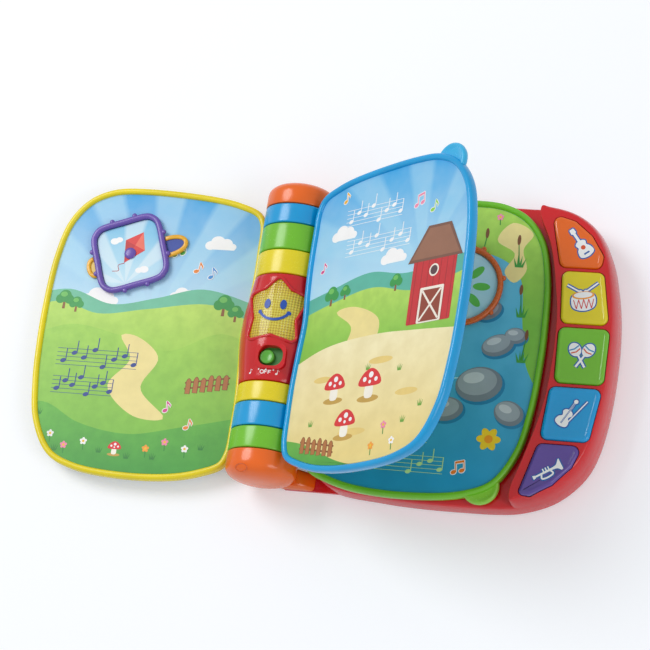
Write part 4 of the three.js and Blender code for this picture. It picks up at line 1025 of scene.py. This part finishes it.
def spine_pieces():
    outline = spine_outline()
    seam = 0.35
    upper = raw("barrel", [(revolve(outline, 96, seam, 180 - seam), SPINE, DEEP_RED)])
    boss = raw("boss", [(slab(rounded_loop(box(-9, -34, 13.5, -15), 5, 6), SLOT_FLOOR + GAP, 28.4), SPINE,
                         DEEP_RED)])
    carve(upper, boss, "UNION")
    carve(upper, raw("star_cut", [(slab(STAR_LOOP, 12, 40), SPINE, DEEP_RED)]))
    carve(upper, raw("slot_cut", [(slab(SLOT_LOOP, SLOT_FLOOR - 1, 40), SPINE, DEEP_RED)]))
    finished(upper, "base", ["spine_upper_shell"])
    build("barrel_underside", [(revolve(outline, 96, 180 + seam, 360 - seam), SPINE, DEEP_RED)], "base",
          ["spine_lower_shell"])

    for name, opening, out, height, radius, sides in (("star_lip", STAR_LOOP, 0.9, 0.1, 1.25, 10),
                                                      ("slot_lip", SLOT_LOOP, 0.5, -0.1, 0.6, 8)):
        line = [on_barrel(x, y, height) for x, y in inset(opening, -out)]
        build(name, [(tube(line, radius, sides), SPINE, DEEP_RED)], "base", ())

    lens = lens_material()
    shell = barrel_line(0.5, 2) + [(r - 2.2, y) for r, y in barrel_line(0.5, 2)][::-1]
    star = raw("star_window", [(revolve(shell, 96, 20, 160), SPINE, lens)])
    carve(star, raw("lens_cut", [(slab(inset(STAR_LOOP, GAP), 12, 40), SPINE, lens)]), "INTERSECT")
    finished(star, "base", ["star_lens"])

    face = ink("1f4fae")
    parts = [(wrapped(ellipse(side * 6, 14.6, 2.3, 3.8), -0.6, 0.0), SPINE, face) for side in (-1, 1)]
    smile = [(11.4 * math.sin(math.radians(a)), 12 - 9.4 * math.cos(math.radians(a)))
             for a in range(-66, 67, 6)]
    parts.append((wrapped_stroke(smile, 1.9, -0.6, 0.0), SPINE, face))
    parts += [(wrapped(ellipse(side * 10.8, 8.4, 1.5), -0.6, 0.0), SPINE, face) for side in (-1, 1)]
    build("star_face", parts, "base", ())


def lens_material():
    made = Shader("star_prisms_painted_light")
    x, y, _ = made.axes()
    pitch = 0.002
    waves = [made.math("PINGPONG", made.math("ADD", axis, 1.0), pitch / 2) for axis in (x, y)]
    height = made.math("DIVIDE", made.math("ADD", *waves), pitch)
    dx = made.math("SUBTRACT", x, SHIFT_X * MM)
    dy = made.math("SUBTRACT", y, 9 * MM)
    reach = made.math("SQRT", made.math("ADD", made.math("MULTIPLY", dx, dx), made.math("MULTIPLY", dy, dy)))
    # The prism pattern's colour is painted light: paler on the crests as painted highlight, darker in the
    # hollows as painted shade; and paler within about 11 mm of the star's lower middle, turning darker out to
    # 24 mm, as a painted glow.
    inner = made.blend(made.span(height, 0.15, 0.85), colour("d0ae00"), colour("fff45a"))
    outer = made.blend(made.span(height, 0.15, 0.85), colour("b88a00"), colour("f8dc20"))
    made.feed(made.surface.inputs["Base Color"], made.blend(made.span(reach, 0.011, 0.024), inner, outer))
    made.gloss(0.12, 0.2, 500.0)
    made.bump(height, 0.9, 0.0006)
    made.surface.inputs["Transmission Weight"].default_value = 0.2
    made.surface.inputs["Coat Weight"].default_value = 0.5
    return made.material


def letter(strokes, x, y, size, width):
    return [(wrapped_stroke([(x + px * size, y + py * size) for px, py in line], width, -0.3, 0.12), SPINE,
             ink("ffffff")) for line in strokes]


def switch_pieces():
    green = moulded("switch_green", "2f8a2c", 0.3, 0.45)
    build("slot_plate", [(slab(inset(SLOT_LOOP, -1.2), SLOT_FLOOR - 1.5, SLOT_FLOOR), SPINE, green)], "base",
          ["switch_plate"])
    knob = [(0, 0), (5.4, 0), (5.4, 1.9), (5.1, 2.55), (4.5, 2.85), (3.4, 2.7), (1.8, 2.35), (0, 2.3)]
    parts = [(upright(*KNOB_PLACE, knob, 48), SPINE @ Matrix.Translation((0, 0, SLOT_FLOOR + 0.3)),
              moulded("knob_green", "5cb83a", 0.16, 0.24)),
             (slab(ellipse(*KNOB_PLACE, 1.5), 14, SLOT_FLOOR + 1), SPINE, green)]
    build("slide_knob", parts, "knob", ["switch_knob"])
    o = [[polar(0.5, a, 0.5, 0.5) for a in range(0, 361, 24)]]
    f = [[(0, 0), (0, 1)], [(0, 0.94), (0.75, 0.94)], [(0, 0.5), (0.6, 0.5)]]
    parts = letter(o, -4.2, -37.6, 2.6, 0.55) + letter(f, -0.9, -37.6, 2.6, 0.55)
    parts += letter(f, 1.9, -37.6, 2.6, 0.55)
    for x in (-12, 8.2):
        parts.append((wrapped(ellipse(x - 0.4, -37.2, 0.8, 0.6, 20, 14), -0.3, 0.12), SPINE, ink("ffffff")))
        parts += letter([[(0, 0), (0, 1), (0.45, 0.75)]], x + 0.25, -37.2, 2.8, 0.4)
    for x in (-5.5, 0, 5.5):
        parts.append((wrapped(ellipse(x, -34.6, 0.55, count=12), -0.3, 0.12), SPINE, ink("ffffff")))
    build("switch_marks", parts, "base", ())


def cap(side, ring_end, name, node):
    start = ring_end + side * GAP
    outline = [(0, start), (RING_RADIUS - 0.8, start), (RING_RADIUS - 0.2, start + side * 0.25),
               (RING_RADIUS, start + side * 0.8)]
    for k in range(19):
        a = math.pi / 2 * k / 18
        outline.append((RING_RADIUS * math.cos(a) ** 0.77 if k < 18 else 0,
                        ring_end + side * (9 + 11.6 * math.sin(a) ** 0.77)))
    middle = ring_end + side * 10
    foot = []
    for reach, z, less in ((35, 3.3, 0.6), (35, 3.9, 0), (34.2, 5.2, 0), (26.5, 14.2, 0), (24, 15, 0.6)):
        outside = rounded_loop(box(8.5, middle - 6.5, reach, middle + 6.5), 3, 6)
        foot.append((inset(outside, less), z - AXIS_Z))
    build(name, [(revolve(outline, 120), SPINE, ORANGE), (loft(foot), SPINE, ORANGE)], "base", [node])


def cap_pieces():
    cap(1, TOP_RINGS[-1], "cap_far", "top_cap")
    cap(-1, BOTTOM_RINGS[-1], "cap_near", "bottom_cap")
    # A darker orange ring round the dimple on the near cap's end: painted shade at the dimple's edge.
    dark = moulded("orange_painted_shade", "d9601c", 0.2, 0.3)
    dimple = []
    for x, y in ellipse(-8, -107.2, 4.6, 2.4):
        along = (BOTTOM_RINGS[-1] - y - 9) / 11.6
        r = RING_RADIUS * (1 - max(0, along) ** 2.6) ** (1 / 2.6)
        dimple.append((x, y, math.sqrt(max(r * r - x * x, 1)) + 0.05))
    build("cap_dimple_edge", [(tube(dimple, 0.45, 8), SPINE, dark)], "base", ())


spine_pieces()
switch_pieces()
cap_pieces()


# Base: deck and key bank

BASE_OUTER = 244.9
BASE_TOP = 112.5
BASE_BOTTOM = -114.8
BASE_INNER = 30.5
BASE_LOOP = smooth_loop([
    (BASE_OUTER, 3), (BASE_OUTER - 1.6, 33), (BASE_OUTER - 6, 59), (BASE_OUTER - 12.2, BASE_TOP - 32.5),
    (BASE_OUTER - 22, BASE_TOP - 16.5), (BASE_OUTER - 37, BASE_TOP - 5.5), (BASE_OUTER - 55, BASE_TOP - 0.5),
    (BASE_OUTER - 75, BASE_TOP), (110, BASE_TOP), (BASE_INNER + 40, BASE_TOP - 2.5),
    (BASE_INNER + 18, BASE_TOP - 7.5), (BASE_INNER + 5.5, BASE_TOP - 15.5),
    (BASE_INNER + 0.5, BASE_TOP - 26.5), (BASE_INNER, 45), (BASE_INNER + 0.6, 2), (BASE_INNER, -40),
    (BASE_INNER + 0.5, BASE_BOTTOM + 31), (BASE_INNER + 5.5, BASE_BOTTOM + 18),
    (BASE_INNER + 19, BASE_BOTTOM + 7), (BASE_INNER + 57, BASE_BOTTOM + 1.6), (118, BASE_BOTTOM),
    (150, BASE_BOTTOM), (BASE_OUTER - 76, BASE_BOTTOM + 0.5), (BASE_OUTER - 58, BASE_BOTTOM + 2.6),
    (BASE_OUTER - 36, BASE_BOTTOM + 10.8), (BASE_OUTER - 22, BASE_BOTTOM + 22),
    (BASE_OUTER - 12, BASE_BOTTOM + 35.5), (BASE_OUTER - 5.6, BASE_BOTTOM + 54),
    (BASE_OUTER - 1.4, -32)], 300)

BANK_EDGE = smooth_line([
    (LEAF_OUTER - 15.2, BASE_TOP + 9), (LEAF_OUTER - 15.2, LEAF_TOP - 11), (LEAF_OUTER - 12.5, LEAF_TOP - 17),
    (LEAF_OUTER - 5.9, LEAF_TOP - 30.7), (LEAF_OUTER - 1.1, LEAF_TOP - 47.3), (LEAF_OUTER + 2.3, 49),
    (LEAF_OUTER + 5.3, 31), (LEAF_OUTER + 6.4, 8), (LEAF_OUTER + 5.8, -14), (LEAF_OUTER + 4.4, -33),
    (LEAF_OUTER + 1.1, LEAF_BOTTOM + 62.4), (LEAF_OUTER - 3.7, LEAF_BOTTOM + 43.7),
    (LEAF_OUTER - 10.1, LEAF_BOTTOM + 21.3), (LEAF_OUTER - 12.7, LEAF_BOTTOM + 13),
    (LEAF_OUTER - 12.2, BASE_BOTTOM - 9)], 6)

KEYS = {
    "orange": ("f56c10", [(189.5, 103.5), (207, 98.5), (220, 88), (230, 73), (229, 63.2), (199.5, 63.2)]),
    "yellow": ("ecd81c", [(201.3, 60.4), (231.5, 60.4), (239, 21.2), (204.6, 21.2)]),
    "green": ("78c42c", [(203.8, 18.2), (240.2, 18.2), (240, -23.2), (205, -23.2)]),
    "blue": ("009fe0", [(202.5, -26.2), (239.6, -26.2), (234, -65.3), (199.6, -65.3)]),
    "purple": ("5f479f", [(199, -68.4), (230.5, -68.4), (224.5, -84), (212, -97.5), (197, -106.4),
                          (188.5, -106.4)]),
}


def edge_x(y):
    for (ax, ay), (bx, by) in zip(BANK_EDGE, BANK_EDGE[1:]):
        if by <= y <= ay:
            return ax + (bx - ax) * (ay - y) / max(ay - by, 1e-6)
    return BANK_EDGE[0][0]


def bank_outline():
    """The bank's foot, and how far each point of it moves inwards at the top."""
    beyond = [p[0] > edge_x(p[1]) for p in BASE_LOOP]
    start = next(i for i in range(len(beyond)) if beyond[i] and not beyond[i - 1])
    outer = []
    for k in range(len(BASE_LOOP)):
        p = BASE_LOOP[(start + k) % len(BASE_LOOP)]
        if not beyond[(start + k) % len(BASE_LOOP)]:
            break
        outer.append(p)
    inner = [p for p in BANK_EDGE if outer[0][1] < p[1] < outer[-1][1]]
    loop = relax(spaced(outer + inner, 380), 10)
    weights = [1.0 if p[0] > edge_x(p[1]) + 4 else 0.2 for p in loop]
    for _ in range(10):
        weights = [(weights[i - 1] + 2 * weights[i] + weights[(i + 1) % 380]) / 4 for i in range(380)]
    return loop, weights


SHELL_WALL = 2.2
KEY_BEND = 5


def key_outline(corners):
    return rounded_loop(corners, KEY_BEND, 8)


def base_pieces():
    foot, weights = bank_outline()
    rise = [(0, 17.6), (0, 20), (0.3, 22.2), (0.64, 24.5), (1.1, 27), (1.66, 29), (2.35, 31), (3.04, 32.3),
            (3.7, 33.2), (4.5, 33.8), (5.4, 34)]
    outside = [(inset(foot, [d * w for w in weights]), z) for d, z in rise]
    shell = raw("base_top", [(loft([(BASE_LOOP, SPLIT_Z), (BASE_LOOP, DECK_Z - 2), (inset(BASE_LOOP, 0.25),
                                    DECK_Z - 1.1), (inset(BASE_LOOP, 0.9), DECK_Z - 0.3),
                                    (inset(BASE_LOOP, 2), DECK_Z)]), MODEL, RED)])
    carve(shell, raw("bank", [(loft(outside), MODEL, RED)]), "UNION")
    # The hollows' cutters pass their near-black on to the inner faces, as painted shade inside the shell.
    hollow = [(inset(foot, [d * w + SHELL_WALL for w in weights]), z)
              for d, z in ((0, SPLIT_Z - 2), (0, 20), (0.64, 24.5), (1.66, 29), (3.04, BANK_Z - SHELL_WALL))]
    carve(shell, raw("bank_hollow", [(loft(hollow), MODEL, HOLLOW_SHADE)]))
    under_deck = slab(inset(BASE_LOOP, SHELL_WALL), SPLIT_Z - 1, DECK_Z - SHELL_WALL)
    carve(shell, raw("deck_hollow", [(under_deck, MODEL, HOLLOW_SHADE)]))
    for _, corners in KEYS.values():
        hole = inset(key_outline(corners), -0.5)
        carve(shell, raw("hole", [(slab(hole, DECK_Z + 4, 40), MODEL, RED)]))
    finished(shell, "base", ["base_upper_shell"], 30)


def base_skirt():
    """A smooth skin round the lower shell's wall."""
    layers = [(inset(BASE_LOOP, 1.3), 1.2), (inset(BASE_LOOP, 1.3), SPLIT_Z - 0.2),
              (BASE_LOOP, SPLIT_Z - 0.2), (BASE_LOOP, 1.7), (inset(BASE_LOOP, 0.4), 1.2)]
    build("base_skirt", [(cycle(layers), MODEL, RED)], "base", (), 30)


def key_cap(name, code, corners, icon):
    loop = key_outline(corners)
    plastic = moulded("key_" + name + "_plastic", code, 0.08, 0.14)
    layers = [(0, 31), (0, 33.9), (0.12, 34.6), (0.45, 35.25), (1.0, 35.7), (1.8, 35.95), (2.3, 36),
              (2.8, 35.9), (3.3, 35.75)]
    parts = [(loft([(inset(loop, d), z) for d, z in layers]), MODEL, plastic),
             (slab(inset(loop, 0.4), 30, 31.5), MODEL, plastic)]
    centre = (sum(p[0] for p in loop) / len(loop), sum(p[1] for p in loop) / len(loop))
    for count, (shape, layer, ink_code) in enumerate(icon(*centre)):
        shape = anticlockwise(shape)
        if layer == 1:
            parts.append((slab(inset(shape, -0.9), 35.4, 35.78 + STEP * count), MODEL, ink("1e5fae")))
            layer = 2
        parts.append((slab(shape, 35.4, 35.7 + 0.05 * (layer + 1) + STEP * count), MODEL, ink(ink_code)))
    build("key_cap_" + name, parts, name + "_key", ["key_" + name])


def guitar(x, y):
    shapes = [(smooth_loop([(0, -9), (5.4, -7), (4.8, -2), (3.2, 0), (4, 3), (0, 5), (-4, 3), (-3.2, 0),
                            (-4.8, -2), (-5.4, -7)], 40), 1, "ffffff"),
              (box(-1, 3, 1, 12), 1, "ffffff"),
              (rounded_loop([(-2, 11.6), (2, 11.6), (1.7, 15.6), (-1.7, 15.6)], 0.7, 3), 1, "ffffff"),
              (ellipse(0, -1, 1.7), 3, "e0542a"),
              (rounded_loop(box(-2.2, -6.6, 2.2, -5.4), 0.4, 3), 3, "1e5fae")]
    return [(turned(s, 38, x + 1, y - 2), layer, code) for s, layer, code in shapes]


def drum(x, y):
    shell = [(-8, 2), (-8, -6), (-4, -8.6), (0, -9.2), (4, -8.6), (8, -6), (8, 2), (0, 5)]
    shapes = [(smooth_loop(shell, 44), 1, "ffffff"),
              (ellipse(0, 2.4, 8, 3), 3, "f5a13a"),
              (ellipse(0, 2.7, 6.6, 2.2), 4, "ffffff")]
    for k in range(4):
        shapes.append((stroke([(-7 + 3.6 * k, -0.6), (-5.2 + 3.6 * k, -7.6)], 0.6), 3, "d7282d"))
        shapes.append((stroke([(-5.2 + 3.6 * k, -7.6), (-3.4 + 3.6 * k, -0.8)], 0.6), 3, "d7282d"))
    for side in (-1, 1):
        shapes.append((stroke([(side * 2, 5), (side * 11, 11)], 1.2), 1, "ffffff"))
        shapes.append((ellipse(side * 2, 5, 1.5), 1, "ffffff"))
    return [(turned(s, 8, x, y - 1), layer, code) for s, layer, code in shapes]


def maracas(x, y):
    shapes = []
    for side in (-1, 1):
        lean = -side * 32
        for shape, layer, code in ((ellipse(0, 6, 4.2, 5.2), 1, "ffffff"),
                                   ([(-0.8, -9), (0.8, -9), (0.7, 1.4), (-0.7, 1.4)], 1, "ffffff"),
                                   (stroke([(-3.6, 5), (0, 4), (3.6, 5)], 0.9), 3, "e0542a"),
                                   (stroke([(-3.8, 7.4), (0, 6.6), (3.8, 7.4)], 0.9), 3, "1e8fc8")):
            shapes.append((turned(shape, lean, x + side * 1.6, y - 1), layer, code))
    return shapes


def fiddle(x, y):
    shapes = [(smooth_loop([(0, -9), (4.6, -7.4), (4.4, -3.6), (2.4, -1.4), (3.8, 1.6), (2.4, 3.6), (0, 4),
                            (-2.4, 3.6), (-3.8, 1.6), (-2.4, -1.4), (-4.4, -3.6), (-4.6, -7.4)], 44), 1,
               "ffffff"),
              ([(-0.8, 2), (0.8, 2), (0.7, 11), (-0.7, 11)], 1, "ffffff"),
              (ellipse(0, 11.6, 1.5), 1, "ffffff"),
              (stroke([(-0.25, -7), (-0.2, 10)], 0.35), 3, "1e5fae"),
              (stroke([(0.45, -7), (0.4, 10)], 0.35), 3, "1e5fae")]
    shapes = [(turned(s, -30, x - 2, y - 1), layer, code) for s, layer, code in shapes]
    shapes.append((turned(stroke([(-11, 0), (11, 0)], 0.9), 52, x + 5, y + 1), 1, "ffffff"))
    return shapes


def horn(x, y):
    bell = smooth_line([(3, 0.8), (7, 1.6), (10, 5)], 6) + [(10.8, 5)] + [(10.8, -5)] + smooth_line(
        [(10, -5), (7, -1.6), (3, -0.8)], 6)
    shapes = [(bell, 1, "ffffff"),
              ([(-11, -0.7), (4, -0.9), (4, 0.9), (-11, 0.7)], 1, "ffffff"),
              ([(-13, -1.6), (-11, -1.1), (-11, 1.1), (-13, 1.6)], 1, "ffffff"),
              (stroke(smooth_line([(-6, -0.4), (-7, -3.6), (-2, -4.6), (2.4, -3.4), (1.4, -0.4)], 6), 1.3), 1,
               "ffffff")]
    for k in (-3.6, -1.4, 0.8):
        shapes.append((box(k - 0.5, 0, k + 0.5, 3.2), 1, "ffffff"))
    return [(turned(s, 32, x + 0.5, y + 1, 0.92), layer, code) for s, layer, code in shapes]


base_pieces()
base_skirt()
ICONS = {"orange": guitar, "yellow": drum, "green": maracas, "blue": fiddle, "purple": horn}
for key_name, (key_code, key_corners) in KEYS.items():
    key_cap(key_name, key_code, key_corners, ICONS[key_name])


# Tambourines

DISC_LOW = LABEL_TOP + GAP
DISC_HIGH = DISC_LOW + 1.4
BAND_HIGH = DISC_LOW + 4.4
SQUARE_BAND = 4.5
GRIP_BAND = 3.2
STUD = [(0, 0), (1.9, 0), (1.9, 0.8), (1.6, 1.3), (1, 1.55), (0, 1.6)]


def pivot_cap(x, y):
    """The low dome over a pivot pin."""
    return upright(x, y, [(0, 0.3), (2.6, 0.3), (2.6, 3.6), (4.4, 3.6), (4.5, 4), (4, 4.5), (2.6, 4.8),
                          (0, 4.9)], 36)


def studded_band(outer, width, studs, place, material):
    parts = [(rim(outer, width, DISC_LOW, BAND_HIGH), place, material)]
    stud = [(r, h + DISC_LOW + 2.5) for r, h in STUD]
    return parts + [(upright(x, y, stud, 24), place, material) for x, y in studs]


def spin_disc(outline, place, film):
    return [(loft([(inset(outline, 0.4), DISC_LOW), (outline, DISC_LOW + 0.4), (outline, DISC_HIGH - 0.4),
                   (inset(outline, 0.4), DISC_HIGH)]), place, film)]


def round_tambourine():
    place = face_place("green", 1)
    x, y, radius, width = 128, 47, 31, 4.2
    circle = ellipse(x, y, radius, count=120)
    studs = [polar(radius + 0.4, 360 * (k + 0.25) / 7, x, y) for k in range(7)]
    parts = studded_band(circle, width, studs, place, BROWN)
    build("round_band", parts, "tambourine_round", ["round_tambourine_band"])
    film = sky_film("round_disc_film", "8fc8dc", "b9dfeb", "a9d6e4", (SHIFT_X + x, y), (y - 30, y + 30),
                    9, 0.6)
    inner = ellipse(x, y, radius - width - GAP + 0.15, count=120)
    parts = spin_disc(inner, place, film)
    for k in range(8):
        leafy = ellipse(*polar(15, 45 * k, x, y), 6.4, 3, 45 * k, 24)
        parts.append((slab(leafy, DISC_HIGH - 0.1, DISC_HIGH + 0.04), place, ink("5cb848")))
    build("round_disc", parts, "tambourine_round", ["round_tambourine_disc"])
    build("round_pivot", [(pivot_cap(x, y), place, BROWN)], "leaf_green", ["round_tambourine_pin"])


def square_tambourine():
    place = face_place("yellow", -1)
    x, y, half, turn = -131.8, 60.5, 28.5, 20
    corner = [(half, 0), (half - 0.8, half - 9), (half - 4, half - 4), (half - 9, half - 0.8)]
    corners = [point for k in range(4) for point in turned(corner, 90 * k)]
    outer = smooth_loop(turned(corners, turn, x, y), 160)
    studs = []
    for side in (-1, 1):
        studs += turned([(side * 9, half + 0.2), (side * 9, -half - 0.2), (half + 0.2, side * 9),
                         (-half - 0.2, side * 9)], turn, x, y)
    parts = studded_band(outer, SQUARE_BAND, studs, place, PURPLE)
    build("square_band", parts, "tambourine_square", ["square_tambourine_band"])
    film = sky_film("square_disc_film", "c9ecfa", "6fc3ea", "e2f5fc", (SHIFT_X + x, y - 24),
                    (y - 24, y + 24), 9, 0.6)
    parts = spin_disc(inset(outer, SQUARE_BAND + GAP - 0.15), place, film)

    def printed(loop, layer, code):
        loop = anticlockwise(loop)
        top = DISC_HIGH + LAYER * layer + STEP * len(parts)
        parts.append((slab(loop, DISC_HIGH - 0.1, top), place, ink(code)))

    kite = turned([(0, 14), (9, 2), (0, -14), (-9, 2)], -24, x + 2, y + 5)
    printed(inset(kite, -0.6), 1, "ffffff")
    printed(kite, 2, "e0322f")
    printed(turned([(0, 14), (9, 2), (0, 2)], -24, x + 2, y + 5), 3, "f4705a")
    printed(turned([(0, 2), (0, -14), (-9, 2)], -24, x + 2, y + 5), 3, "c3222a")
    tail = smooth_line([(x - 3.4, y - 8), (x - 8, y - 10), (x - 7, y - 14), (x - 12, y - 15)], 8)
    printed(stroke(tail, 0.5), 2, "b0303a")
    for cx, cy, r in ((-14, 9, 3.4), (-10.5, 10.5, 2.8), (13, -12, 3.6), (9, -13, 2.8)):
        printed(ellipse(x + cx, y + cy, r, r * 0.75), 1, "ffffff")
    build("square_disc", parts, "tambourine_square", ["square_tambourine_disc"])
    build("square_pivot", [(pivot_cap(x, y), place, PURPLE)], "leaf_yellow", ["square_tambourine_pin"])

    base = half + GAP
    for name, side, reach, inside in (("near", 1, 45.5, "1d3f9e"), ("far", -1, 35.5, "f7d772")):
        arc = [(side * (base + (reach - GRIP_BAND / 2 - base) * math.cos(math.radians(a)) ** 0.8),
                6.9 * math.sin(math.radians(a)) - 3) for a in range(-90, 91, 9)]
        arc = anticlockwise(turned(arc, turn, x, y))
        loop = anticlockwise(stroke(arc, GRIP_BAND))
        layers = [(inset(loop, 0.4), DISC_LOW), (loop, DISC_LOW + 0.4), (loop, DISC_LOW + 1.6),
                  (inset(loop, 0.25), DISC_LOW + 2), (inset(loop, 0.7), DISC_LOW + 2.2)]
        parts = [(loft(layers), place, AMBER),
                 (slab(arc, DISC_LOW + 0.2, DISC_LOW + 0.9), place, ink(inside))]
        build("grip_" + name, parts, "tambourine_square", ["square_tambourine_grip_" + name])


round_tambourine()
square_tambourine()


# Nodes that keep their own shape

HIDDEN = {
    "base_lower_shell": RED, "battery_door": RED,
    "base_page": field_film("base_film", "6fc2e0", "9fd8ee", (-110, 110)),
    "lamp": moulded("lamp_clear", "fff2c0", 0.1, 0.2),
    "slide_switch": moulded("switch_body", "3a3d42", 0.3, 0.5, Metallic=0.3),
    "speaker": moulded("speaker_cone", "2e2e30", 0.5, 0.7),
    "key_membrane": moulded("rubber", "d9d9d2", 0.6, 0.8),
}
BOARD = moulded("board", "2f7d4a", 0.4, 0.6, 0.12, 300.0)
STEEL = moulded("steel", "b4b7bb", 0.25, 0.4, Metallic=0.9)
CELL = moulded("cell", "50555c", 0.3, 0.45, Metallic=0.3)
for node_name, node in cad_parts.items():
    if "screw" in node_name or "contact" in node_name:
        material = STEEL
    elif "board" in node_name:
        material = BOARD
    elif node_name in ("battery_lower", "battery_upper"):
        material = CELL
    elif node_name in HIDDEN:
        material = HIDDEN[node_name]
    else:
        continue
    for slot_entry in node.material_slots:
        slot_entry.material = material
